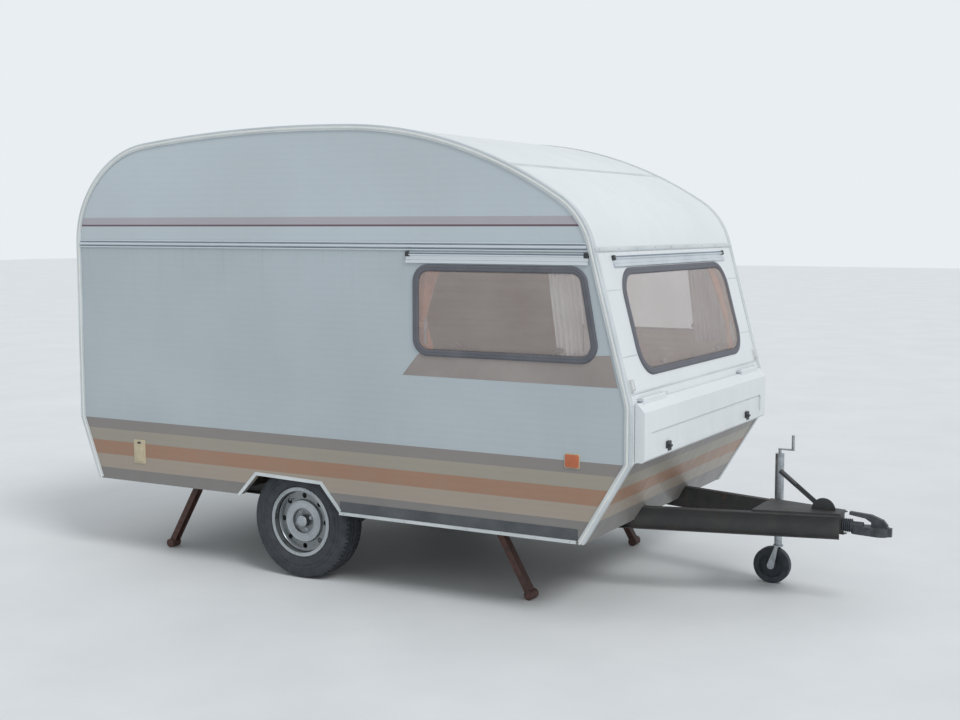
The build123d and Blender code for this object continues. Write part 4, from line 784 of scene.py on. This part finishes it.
# Tyres: section from bead to bead with a flat tread, cut by grooves round it and by slots across it.
# Sections are in millimetres: across from the tyre's middle, then radius.
tyreSet = {"pitches": 76, "grooveDepth": 7 * mm, "grooves": (-44, -16, 16, 44), "grooveHalf": 3.7,
           "skew": 0.0007, "slotFrom": 22, "slotTo": 74, "slotRadius": 308, "grooveRadius": 300}
tyreSide = [(68, 178.6), (73, 179), (73.6, 195.6), (76.5, 197), (78, 201), (81.5, 203), (85.5, 212),
            (87.4, 229), (87.5, 241), (85.2, 243), (85.2, 247), (87.4, 249), (87.4, 262), (85.2, 264),
            (85.2, 266), (86.4, 268), (85, 279), (82.5, 290), (79, 299), (76.5, 303), (73.5, 308),
            (67, 313.5)]
treadHalf = [0, 11.6, 12.4, 19.6, 20.4, 39.6, 40.4, 47.6, 48.4, 62]
treadY = np.array([-y for y in treadHalf[:0:-1]] + treadHalf)
treadR = 318 - 3.6 * (np.abs(treadY) / 67) ** 2.5
tread = list(zip(treadY[::-1], treadR[::-1]))
section = np.array(tyreSide + tread + [(-y, r) for y, r in reversed(tyreSide)])
# Columns of points in each pitch: the slot's first edge, its floor's two ends, its last edge, and the block
slotColumns = np.array([0.0, 0.03, 0.16, 0.19, 0.6])
around = (np.arange(tyreSet["pitches"])[:, None] + slotColumns[None]).ravel() / tyreSet["pitches"]
inSlot = np.tile([0, 1, 1, 0, 0], tyreSet["pitches"]).astype(float)
sectionY, sectionR = section[:, 0], section[:, 1]
apart = np.abs(sectionY[None] - np.array(tyreSet["grooves"])[:, None])
groove = ((apart < tyreSet["grooveHalf"]).any(0) & (sectionR > tyreSet["grooveRadius"])).astype(float)
ribIndex = np.digitize(sectionY, tyreSet["grooves"])
slotZone = (np.abs(sectionY) > tyreSet["slotFrom"]) & (np.abs(sectionY) < tyreSet["slotTo"])
slotZone = slotZone & (sectionR > tyreSet["slotRadius"])
shift = np.where(ribIndex % 2 == 0, 0.0, 0.5) / tyreSet["pitches"] + tyreSet["skew"] * np.abs(sectionY) / 10
angle = 2 * pi * (around[:, None] + shift[None])
cut = np.maximum(groove[None], inSlot[:, None] * slotZone[None]) * tyreSet["grooveDepth"]
wheelSides = ((1, "left"), (-1, "right"))
for side, name in wheelSides:
    low, high = span("tyre_" + name)
    radius = sectionR[None] * mm - cut
    tyreY = np.broadcast_to((low[1] + high[1]) / 2 + sectionY * mm, radius.shape)
    points = np.stack([axleX + radius * np.cos(angle), tyreY, hubZ + radius * np.sin(angle)], -1)
    makePiece("tyre" + name.capitalize(), [(points.reshape(-1, 3), gridFaces(*radius.shape, True, True))],
              tyreRubber, "wheel_" + name, ["tyre_" + name], sharp=32)
print("tyres made")

# On each wheel: nuts on a 100 mm ring, the valve, and a dust cap's dome, a quarter ellipse turned
wheelSet = {"nutRing": 50 * mm, "nuts": 4, "nutStart": 0.4, "nutFlat": 10 * mm, "nutHigh": 13 * mm,
            "discFace": 34 * mm, "valveRing": 140 * mm, "valveTurn": 2.2, "capRadius": 33.6 * mm,
            "capHigh": 9 * mm}
flat, tall = wheelSet["nutFlat"], wheelSet["nutHigh"]
nut = [(1.3 * flat, 0), (1.3 * flat, 2 * mm), (flat, 3 * mm), (flat, tall), (0.8 * flat, tall + 1 * mm),
       (0.5 * flat, tall + 1 * mm), (0.4 * flat, tall + 6 * mm)]
valve = [(5 * mm, -2 * mm), (4 * mm, 8 * mm), (4.4 * mm, 9 * mm), (4.4 * mm, 24 * mm), (3 * mm, 26 * mm)]
domeRadius, domeHigh = wheelSet["capRadius"], wheelSet["capHigh"]
dome = [(domeRadius * cos(a), 0.2 * mm + domeHigh * sin(a)) for a in np.linspace(0, 1.5, 6)]
# Rolled beads on the rim's lip, the well's step and both edges of the disc's ridge: radius from the axle,
# place outward from the wheel's middle, width and stand in mm, each ring = axle + radial * radius
rimBeads = [(189.5, 79, 9, 2.4), (168, 39, 9, 7), (111.5, 50, 9, 2.6), (76, 50, 8, 2.6)]
beadSection = np.array([(-0.5, -0.1), (-0.5, 0.2), (-0.35, 0.7), (-0.12, 1), (0.12, 1), (0.35, 0.7),
                        (0.5, 0.2), (0.5, -0.1)])
radial = np.insert(circle(1, 120), 1, 0, axis=1)
for side, name in wheelSides:
    low, high = span("tyre_" + name)
    wheelY = (low[1] + high[1]) / 2
    face = wheelY + side * wheelSet["discFace"]
    outward = np.array([0.0, side, 0.0])
    turns = np.arange(wheelSet["nuts"]) * 2 * pi / wheelSet["nuts"] + wheelSet["nutStart"]
    small = []
    for ring, turn, shape, sides in [(wheelSet["nutRing"], turn, nut, 6) for turn in turns] + [
            (wheelSet["valveRing"], wheelSet["valveTurn"], valve, 10)]:
        small.append(turned((axleX + ring * cos(turn), face, hubZ + ring * sin(turn)), outward, shape, sides))
    capFace = span("drum_" + name)[1 if side > 0 else 0][1]
    small.append(turned((axleX, capFace, hubZ), outward, dome, 32))
    makePiece("wheelFittings" + name.capitalize(), small, zincPlate, "wheel_" + name, sharp=30)
    beads = []
    for radius, place, wide, stand in rimBeads:
        ring = (axleX, wheelY, hubZ) + radial * radius * mm + outward * place * mm
        beads.append(sweep(ring, radial, outward, beadSection * (wide * mm, stand * mm), wrap=True))
    makePiece("rimBeads" + name.capitalize(), beads, wheelSilver, "wheel_" + name, sharp=40)
print("wheel fittings made")

# Curtains: cloth gathered on the rail. Across the cloth, folds stand out by amplitude * sin(folds), and
# the cloth's free edge is drawn in to its width at each height, narrowest at the tie. Nets hang straight.
curtainSet = {"depth": 45 * mm, "amplitude": 11 * mm, "folds": 8.0, "tieShare": 0.36, "drawn": 0.42,
              "tieHalf": 18 * mm, "tieOver": 6 * mm, "tieRound": 0.0178, "columns": 97, "rows": 41}
curtainRows = [  # name, wall, outer edge at foot and head, way of the free edge, width, low, high, net
    ("offsideRear", "offside", 0.040, 0.040, 1, 0.205, 1.250, 1.796, False),
    ("offsideFront", "offside", 1.115, 1.045, -1, 0.225, 1.250, 1.796, True),
    ("nearsideRear", "nearside", 0.040, 0.040, 1, 0.205, 1.250, 1.796, False),
    ("nearsideFront", "nearside", 1.115, 1.045, -1, 0.225, 1.250, 1.796, True),
    ("frontOffside", "front", -0.813, -0.813, 1, 0.185, 0.080, 0.664, False),
    ("frontNearside", "front", 0.813, 0.813, -1, 0.185, 0.080, 0.664, False),
    ("rearOffside", "rear", 0.638, 0.638, -1, 0.185, 1.282, 1.796, False),
    ("rearNearside", "rear", -0.638, -0.638, 1, 0.185, 1.282, 1.796, False)]
tieSection = np.array([(-14, 0), (-14, 1.2), (0, 1.8), (14, 1.2), (14, 0)]) * mm
columns, rows = (np.linspace(0, 1, curtainSet[name]) for name in ("columns", "rows"))
u, v = np.meshgrid(columns, rows, indexing="xy")
tie = curtainSet["tieShare"]
tieRow = int(round(tie * (curtainSet["rows"] - 1)))
over, under = np.maximum(v - tie, 0) / (1 - tie), np.maximum(tie - v, 0) / tie
drawn = curtainSet["drawn"] + 0.58 * over ** 1.4 + 0.30 * under ** 0.8
swing = np.sin(2 * pi * curtainSet["folds"] * u + 0.8 * np.sin(3 * v))
swing = swing + 0.25 * np.sin(2 * pi * 2.7 * u + 4 * v)
pinch = 1 - 0.35 * np.exp(-((v - tie) / 0.08) ** 2)
for name, wall, foot, head, way, width, low, high, isNet in curtainRows:
    title = name[0].upper() + name[1:]
    wide = width * (np.ones_like(v) if isNet else drawn)
    edge = foot + (head - foot) * v
    flatU = edge + way * u * wide
    amplitude = curtainSet["amplitude"] * (0.55 if isNet else 1.0) * pinch
    depth = -curtainSet["depth"] + amplitude * swing
    points = onWall(wall, np.stack([flatU, low + (high - low) * v], -1), depth)
    cloth = netCloth if isNet else curtainCloth
    piece = makePiece("curtain" + title, [(points.reshape(-1, 3), gridFaces(*v.shape))], cloth,
                      replaced=["curtains"], closed=False)
    if not isNet:
        tieOver, tieHalf = curtainSet["tieOver"], curtainSet["tieHalf"]
        tieBox = rectangle(-tieOver, width * curtainSet["drawn"] + tieOver, -tieHalf, tieHalf)
        tieLoop = roundedLoop(tieBox, curtainSet["tieRound"], 8)
        tieFlat = np.stack([np.full(len(tieLoop), edge[tieRow, 0]) + way * tieLoop[:, 0],
                            np.full(len(tieLoop), low + (high - low) * tie)], -1)
        ring = onWall(wall, tieFlat, -curtainSet["depth"] + tieLoop[:, 1])
        first, up, facing = walls[wall][1:]
        flatNormals = loopNormals(tieLoop)
        outward = way * flatNormals[:, :1] * first + flatNormals[:, 1:] * facing
        tieShape = sweep(ring, up, outward, tieSection, wrap=True)
        makePiece("tie" + title, [tieShape], curtainCloth)
print("curtains made")


# sign(wave) * |wave| ^ power, which squares up a circle's sine and cosine
def squared(wave, power):
    return np.sign(wave) * np.abs(wave) ** power


# A stuffed block: point = middle + half * squared wave on each axis, with the top crowned and the long
# sides drawn in a little between their corners
def stuffed(low, high, roundness=0.22, crown=0.06, rows=25, columns=73):
    low, high = np.array(low), np.array(high)
    middle, half = (low + high) / 2, (high - low) / 2
    around = np.linspace(0, 2 * pi, columns, endpoint=False)
    lift, turn = np.meshgrid(np.linspace(-pi / 2, pi / 2, rows), around, indexing="ij")
    x = squared(np.cos(lift), 0.5) * squared(np.cos(turn), roundness)
    y = squared(np.cos(lift), 0.5) * squared(np.sin(turn), roundness)
    z = squared(np.sin(lift), 0.55)
    draw = 1 - crown * 0.5 * (1 - np.abs(x * y))
    points = middle + half * np.stack([x * draw, y * draw, z * (1 - crown * (x ** 2 + y ** 2) / 2)], -1)
    return points.reshape(-1, 3), gridFaces(rows, columns, False, True)


def pointsOf(mesh):
    flat = np.empty(len(mesh.vertices) * 3)
    mesh.vertices.foreach_get("co", flat)
    return flat.reshape(-1, 3)


# Cushions: seat and back rest on each bench, blown up as cloth, with piping round the seat's widest line
cushionSet = {"seatLow": 0.8503, "seatHigh": 0.9498, "restLow": 0.9510, "restHigh": 1.2398, "deep": 0.600,
              "restDeep": 0.110, "gap": 1.5 * mm, "shrink": 13 * mm, "cap": 15 * mm, "voxel": 17 * mm,
              "pressure": 4.0, "frames": 20, "piping": 4 * mm, "seatFill": 0.85, "restFill": 0.8}


# A pad as cloth under pressure: a block smaller than its room is remeshed evenly and blown up, each point
# moves at most the cap, and none leaves the room
def blownPad(low, high):
    low, high = np.array(low), np.array(high)
    shrink = cushionSet["shrink"]
    points, faces = stuffed(low + (shrink, shrink, 1 * mm), high - shrink, crown=0.0)
    mesh = bpy.data.meshes.new("padStart")
    mesh.from_pydata(points.tolist(), [], faces)
    block = bpy.data.objects.new("padStart", mesh)
    scene.collection.objects.link(block)
    voxels = block.modifiers.new("voxels", "REMESH")
    voxels.mode, voxels.voxel_size = "VOXEL", cushionSet["voxel"]
    even = bpy.data.meshes.new_from_object(block.evaluated_get(bpy.context.evaluated_depsgraph_get()))
    bpy.data.objects.remove(block)
    pad = bpy.data.objects.new("pad", even)
    scene.collection.objects.link(pad)
    cloth = pad.modifiers.new("cloth", "CLOTH")
    cloth.settings.use_pressure = True
    cloth.settings.uniform_pressure_force = cushionSet["pressure"]
    cloth.settings.effector_weights.gravity = 0.0
    cloth.collision_settings.use_collision = False
    cloth.point_cache.frame_end = cushionSet["frames"]
    before = pointsOf(even)
    for frameNumber in range(1, cushionSet["frames"] + 1):
        scene.frame_set(frameNumber)
    move = pointsOf(pad.evaluated_get(bpy.context.evaluated_depsgraph_get()).data) - before
    length = np.maximum(np.linalg.norm(move, axis=1, keepdims=True), 1e-9)
    points = np.clip(before + move * np.minimum(1, cushionSet["cap"] / length), low, high)
    faces = [list(face.vertices) for face in even.polygons]
    bpy.data.objects.remove(pad)
    scene.frame_set(1)
    return points, faces


# Piping along a pad's outside at one height: each loop point is moved out to the furthest pad point near
# its direction from the middle, and the loop is smoothed twice
def pipingRound(points, height, radius):
    near = points[np.abs(points[:, 2] - height) < 0.6 * cushionSet["voxel"], :2]
    middle, half = (near.max(0) + near.min(0)) / 2, (near.max(0) - near.min(0)) / 2
    heading = np.arctan2(*((near - middle) / half).T[::-1])
    angle = np.linspace(-pi, pi, 72, endpoint=False)
    apart = np.abs((heading[None] - angle[:, None] + pi) % (2 * pi) - pi)
    reach = np.abs((near - middle) / half).max(1)
    loop = near[np.argmax(np.where(apart < 0.09, reach[None], -1 - apart), axis=1)]
    for smoothing in range(2):
        loop = (np.roll(loop, 1, 0) + 2 * loop + np.roll(loop, -1, 0)) / 4
    ring = np.column_stack([loop, np.full(len(loop), height)])
    normals = np.column_stack([loopNormals(loop), np.zeros(len(loop))])
    return sweep(ring, normals, (0.0, 0.0, 1.0), circle(radius, 8), wrap=True)


benchRows = [(-0.065, 0.935, -1), (-0.065, 0.935, 1), (-2.226, -1.765, 1)]  # rear end, front end, side
for i, (tail, head, side) in enumerate(benchRows, 1):
    edges = sorted((side * (innerOut - cushionSet["deep"]), side * (innerOut - 0.5 * mm)))
    rest = sorted((side * (innerOut - cushionSet["restDeep"]), side * (innerOut - 0.8 * mm)))
    gap, inset = cushionSet["gap"], 2 * cushionSet["piping"]
    seatShape = blownPad((tail + inset, edges[0] + inset, cushionSet["seatLow"]),
                         (head - inset, edges[1] - inset, cushionSet["seatHigh"]))
    seatMiddle = 0.5 * (cushionSet["seatLow"] + cushionSet["seatHigh"])
    piping = pipingRound(seatShape[0], seatMiddle, cushionSet["piping"])
    restShape = blownPad((tail + gap, rest[0], cushionSet["restLow"]),
                         (head - gap, rest[1], cushionSet["restHigh"]))
    for name, shapes, full in ((f"seatCushion{i}", [seatShape, piping], cushionSet["seatFill"]),
                               (f"backCushion{i}", [restShape], cushionSet["restFill"])):
        pad = makePiece(name, shapes, seatCloth, replaced=["bench_cushions"], sharp=60)
        fine = pad.modifiers.new("fine", "SUBSURF")
        fine.levels = fine.render_levels = 1
print("cushions made")

# Lamps and reflectors: each a base and a lens that stands out of it
lampSet = {"rearBase": 9 * mm, "wide": 340 * mm, "border": 5 * mm, "markerIn": 34 * mm, "markerWide": 38 * mm,
           "markerZ": 1.190, "markerHalf": 32 * mm, "markerBorder": 3 * mm, "reflectorBorder": 4 * mm}


# A rectangle drawn in by a border on all sides
def drawnIn(corners, border):
    (uLow, vLow), (uHigh, vHigh) = corners.min(0), corners.max(0)
    return rectangle(uLow + border, uHigh - border, vLow + border, vHigh - border)


lampLow, lampHigh = span("rear_lamps")
reflectorLow, reflectorHigh = span("side_reflectors")
lampEdge = abs(lampHigh[1])
rearBases, rearLenses, markerBases, markerLenses, reflectorBases, reflectorLenses = [], [], [], [], [], []
for side in (-1, 1):
    low, high = sorted((side * lampEdge, side * (lampEdge - lampSet["wide"])))
    corners = rectangle(-high, -low, lampLow[2], lampHigh[2])
    rearBases.append(plate("rear", corners, 12 * mm, lampSet["rearBase"], 3 * mm))
    rearLenses.append(plate("rear", drawnIn(corners, lampSet["border"]), 10 * mm, 31 * mm, 8 * mm,
                            low=lampSet["rearBase"] - 1 * mm))
    inner = wallOut - lampSet["markerIn"]
    low, high = sorted((side * inner, side * (inner - lampSet["markerWide"])))
    v, half = upRake(lampSet["markerZ"]), lampSet["markerHalf"]
    corners = rectangle(low, high, v - half, v + half)
    markerBases.append(plate("front", corners, 6 * mm, 6 * mm, 2 * mm))
    markerLenses.append(plate("front", drawnIn(corners, lampSet["markerBorder"]), 6 * mm, 20 * mm, 7 * mm,
                              low=5 * mm))
for wall in ("offside", "nearside"):
    corners = rectangle(reflectorLow[0], reflectorHigh[0], reflectorLow[2], reflectorHigh[2])
    reflectorBases.append(plate(wall, corners, 8 * mm, 4 * mm, 1.5 * mm))
    reflectorLenses.append(plate(wall, drawnIn(corners, lampSet["reflectorBorder"]), 6 * mm, 8 * mm, 3 * mm,
                                 low=3 * mm))
for name, shapes, material, slot, node in (
        ("rearLampBases", rearBases, darkPlastic, "red_lens", "rear_lamps"),
        ("rearLampLenses", rearLenses, rearLens, "red_lens", "rear_lamps"),
        ("markerBases", markerBases, whitePlastic, "clear_lens", "front_markers"),
        ("markerLenses", markerLenses, clearLens, "clear_lens", "front_markers"),
        ("reflectorBases", reflectorBases, beigePlastic, "amber_lens", "side_reflectors"),
        ("reflectorLenses", reflectorLenses, amberLens, "amber_lens", "side_reflectors")):
    makePiece(name, shapes, material, replaced=[node])

# Inlet hatch: a frame, a hinged flap proud of it with a dark catch at its head, and a finger dish
hatchSet = {"border": 12 * mm, "frame": 4.5 * mm, "stand": 9.5 * mm, "catchWide": 22 * mm,
            "catchTall": 11 * mm, "dish": 17 * mm, "dishZ": 52 * mm, "sunk": 1 * mm}
hatchLow, hatchHigh = span("inlet_hatch")
hatchMiddle = (hatchLow[0] + hatchHigh[0]) / 2
border, halfCatch = hatchSet["border"], hatchSet["catchWide"] / 2
sunk = hatchSet["frame"] - hatchSet["sunk"]
frameCorners = rectangle(hatchLow[0], hatchHigh[0], hatchLow[2], hatchHigh[2])
flap = rectangle(hatchLow[0] + border, hatchHigh[0] - border, hatchLow[2] + border,
                 hatchHigh[2] - 2 * border)
catchZ = hatchHigh[2] - 2 * border + 2 * mm
catch = rectangle(hatchMiddle - halfCatch, hatchMiddle + halfCatch, catchZ,
                  catchZ + hatchSet["catchTall"])
dishCentre = onWall("offside", (hatchMiddle, hatchLow[2] + hatchSet["dishZ"]), hatchSet["stand"] - 2.6 * mm)
dishSection = [(1, 0), (1, 2.9), (0.86, 3.1), (0.76, 2.7), (0.4, 2.65)]  # share of the radius, height in mm
dishSection = [(share * hatchSet["dish"], high * mm) for share, high in dishSection]
dish = turned(dishCentre, (0, -1, 0), dishSection, 32)
framePlate = plate("offside", frameCorners, 8 * mm, hatchSet["frame"], 2 * mm)
flapPlate = plate("offside", flap, 8 * mm, hatchSet["stand"], 2.5 * mm, low=sunk)
catchPlate = plate("offside", catch, 4 * mm, 9 * mm, 2 * mm, low=sunk)
makePiece("hatchFrame", [framePlate], beigePlastic, replaced=["inlet_hatch"])
makePiece("hatchFlap", [flapPlate, dish], beigePlastic, replaced=["inlet_hatch"])
makePiece("hatchCatch", [catchPlate], darkPlastic)

# Roof vent: a moulded dome over the lid's plan, swelling to the middle. Rows are inset in millimetres,
# share of the plan and share of the height.
ventLow, ventHigh = span("roof_vent_lid")
ventLoop = roundedLoop(rectangle(ventLow[0], ventHigh[0], ventLow[1], ventHigh[1]), 45 * mm, 10)
tall = ventHigh[2] - ventLow[2]
ventRows = [(2, 1, 0), (0, 1, 0.16), (1, 1, 0.34), (10, 1, 0.42), (22, 1, 0.46), (30, 1, 0.72),
            (40, 0.97, 0.86), (42, 0.8, 0.95), (42, 0.45, 0.995), (42, 0.02, 1)]
ventRows = [(inset * mm, share, ventLow[2] + height * tall) for inset, share, height in ventRows]
ventDome = ringPanel("top", ventLoop, ventRows)
makePiece("roofVentDome", [ventDome], whitePlastic, "roof_vent_lid", ["roof_vent_lid"],
          sharp=50)
print("lamps, hatch and vent made")

# Door furniture: a backing plate with its lever and lock, low enough to pass the hinge's stand
doorSet = {"inset": 72 * mm, "z": 1.16, "wide": 62 * mm, "tall": 120 * mm, "stand": 14 * mm}
x, z = span("door_leaf")[0][0] + doorSet["inset"], doorSet["z"]
halfWide, halfTall = doorSet["wide"] / 2, doorSet["tall"] / 2
lock = [(11 * mm, 0), (11 * mm, 4 * mm), (9 * mm, 6 * mm), (3 * mm, 6 * mm)]
backing = rectangle(x - halfWide, x + halfWide, z - halfTall, z + halfTall)
lever = rectangle(x - 22 * mm, x + 22 * mm, z - 8 * mm, z + 40 * mm)
doorParts = [plate("nearside", backing, 12 * mm, 5 * mm, 2 * mm),
             plate("nearside", lever, 8 * mm, doorSet["stand"], 3 * mm, low=5 * mm),
             turned(onWall("nearside", (x, z - 38 * mm), 4.5 * mm), (0, 1, 0), lock, 24)]
makePiece("doorHandle", doorParts, darkPlastic, "door")

# Locker catches near the lid's lower corners, and the rear grab handles
catches = []
for u in (-0.62, 0.62):
    backing = rectangle(u - 24 * mm, u + 24 * mm, 0.838, 0.886)
    latch = rectangle(u - 17 * mm, u + 17 * mm, 0.856, 0.868)
    catches.append(plate("lid", backing, 6 * mm, 3 * mm, 1 * mm, low=-12 * mm))
    catches.append(plate("lid", latch, 4 * mm, 13 * mm, 3 * mm))
makePiece("lockerCatches", catches, darkPlastic, "locker_lid")

handleSet = {"y": 0.885, "low": 1.000, "high": 1.150, "radius": 7 * mm, "stand": 22 * mm}
bend = np.linspace(0, pi / 2, 7)
r = handleSet["stand"]
grip = [(handleSet["low"] + r - r * cos(a), r * sin(a)) for a in bend]
grip += [(handleSet["high"] - r + r * sin(a), r * cos(a)) for a in bend]
handles = []
for u in (-handleSet["y"], handleSet["y"]):
    path = onWall("rear", np.array([(u, v) for v, h in grip]), np.array([h for v, h in grip]))
    handles.append(bar(path, handleSet["radius"], np.array([0.0, 1.0, 0.0])))
    for v in (handleSet["low"], handleSet["high"]):
        foot = rectangle(u - 14 * mm, u + 14 * mm, v - 20 * mm, v + 20 * mm)
        handles.append(plate("rear", foot, 10 * mm, 4 * mm, 2 * mm))
makePiece("grabHandles", handles, whitePlastic)


# Small dome-headed screws in rows, each a quarter ellipse turned about the wall's facing
def screwRow(wall, starts, ends, count, height, radius=4 * mm):
    head = [(radius, -0.3 * mm), (radius, 0.4 * mm), (0.75 * radius, 1.4 * mm), (0.3 * radius, 1.9 * mm),
            (0.05 * radius, 1.95 * mm)]
    starts, ends = np.asarray(starts), np.asarray(ends)
    places = [starts * (1 - share) + ends * share for share in np.linspace(0, 1, count)]
    return [turned(onWall(wall, flat, height), walls[wall][3], head, 10) for flat in places]


screwSet = {"sillIn": 0.03, "sillUp": 8 * mm, "endHalf": 0.95}
sillLow, sillHigh = span("sill_rails")
sillEnds = [(x, sillLow[2] + screwSet["sillUp"]) for x in (sillLow[0] + screwSet["sillIn"],
                                                           sillHigh[0] - screwSet["sillIn"])]
screws = []
for wall in ("offside", "nearside"):
    screws += screwRow(wall, *sillEnds, 8, 12 * mm, 3 * mm)
hatchEnds = [(hatchMiddle, hatchLow[2] + 6 * mm), (hatchMiddle, hatchHigh[2] - 6 * mm)]
screws += screwRow("offside", *hatchEnds, 2, hatchSet["frame"], 2.6 * mm)
for wall, v in (("front", upRake(browZ)), ("rear", crossZ)):
    screws += screwRow(wall, (-screwSet["endHalf"], v), (screwSet["endHalf"], v), 9, 8 * mm)
makePiece("trimScrews", screws, zincPlate)

# Bellows on the draw tube: radius = low + (high - low) * (1 - cos(turn)) / 2, one turn to each fold
gaiterSet = {"tail": span("drawbar_plate")[1][0] + 1 * mm, "long": 52 * mm, "height": 0.418, "low": 27 * mm,
             "high": 36 * mm, "folds": 5, "bore": 24.5 * mm}
step = np.linspace(0, 1, 61)
ripple = 0.5 - 0.5 * np.cos(2 * pi * gaiterSet["folds"] * step)
low, high = gaiterSet["low"], gaiterSet["high"]
outer = np.stack([low + (high - low) * ripple, step * gaiterSet["long"]], 1)
bellows = [(gaiterSet["bore"], 0), *outer, (gaiterSet["bore"], gaiterSet["long"])]
makePiece("drawTubeGaiter", [turned((gaiterSet["tail"], 0, gaiterSet["height"]), (1, 0, 0), bellows, 40)],
          tyreRubber, sharp=60)

# Cupboard fronts and the worktop inside: thin doors with a knob, on the aisle side of each unit
cupboardSet = {"thick": 12 * mm, "gap": 6 * mm, "rearEnd": tailX + 0.175, "knobIn": 50 * mm, "knobDown": 0.12,
               "worktopEdge": -0.415}
cupboardRows = [  # node, doors, gaps at the top and at the foot
    ("kitchen_unit", 3, 0.04, 0.04), ("wardrobe", 1, 0.06, 0.05)]
knob = [(5 * mm, 0), (5 * mm, 8 * mm), (12 * mm, 12 * mm), (12 * mm, 18 * mm), (4 * mm, 21 * mm)]
doors, knobs = [], []
for node, count, top, foot in cupboardRows:
    low, high = span(node)
    tail = max(low[0], cupboardSet["rearEnd"])
    wide = (high[0] - tail) / count
    for i in range(count):
        u = tail + i * wide + cupboardSet["gap"]
        corners = rectangle(u, u + wide - 2 * cupboardSet["gap"], low[2] + foot, high[2] - top)
        doors.append(plate("aisle", corners, 6 * mm, cupboardSet["thick"], 3 * mm, low=0.3 * mm))
        knobPlace = (u + wide - cupboardSet["knobIn"], high[2] - cupboardSet["knobDown"])
        knobs.append(turned(onWall("aisle", knobPlace, cupboardSet["thick"]), (0, 1, 0), knob, 16))
makePiece("cupboardDoors", doors, furniturePly)
makePiece("cupboardKnobs", knobs, zincPlate)
worktop = rectangle(kitchenLow[0] + 2 * mm, kitchenHigh[0] + 8 * mm, kitchenLow[1] + 2 * mm,
                    cupboardSet["worktopEdge"])
makePiece("worktop", [plate("worktop", worktop, 12 * mm, 22 * mm, 6 * mm, low=0.3 * mm)], worktopFoil)
print("fittings made")
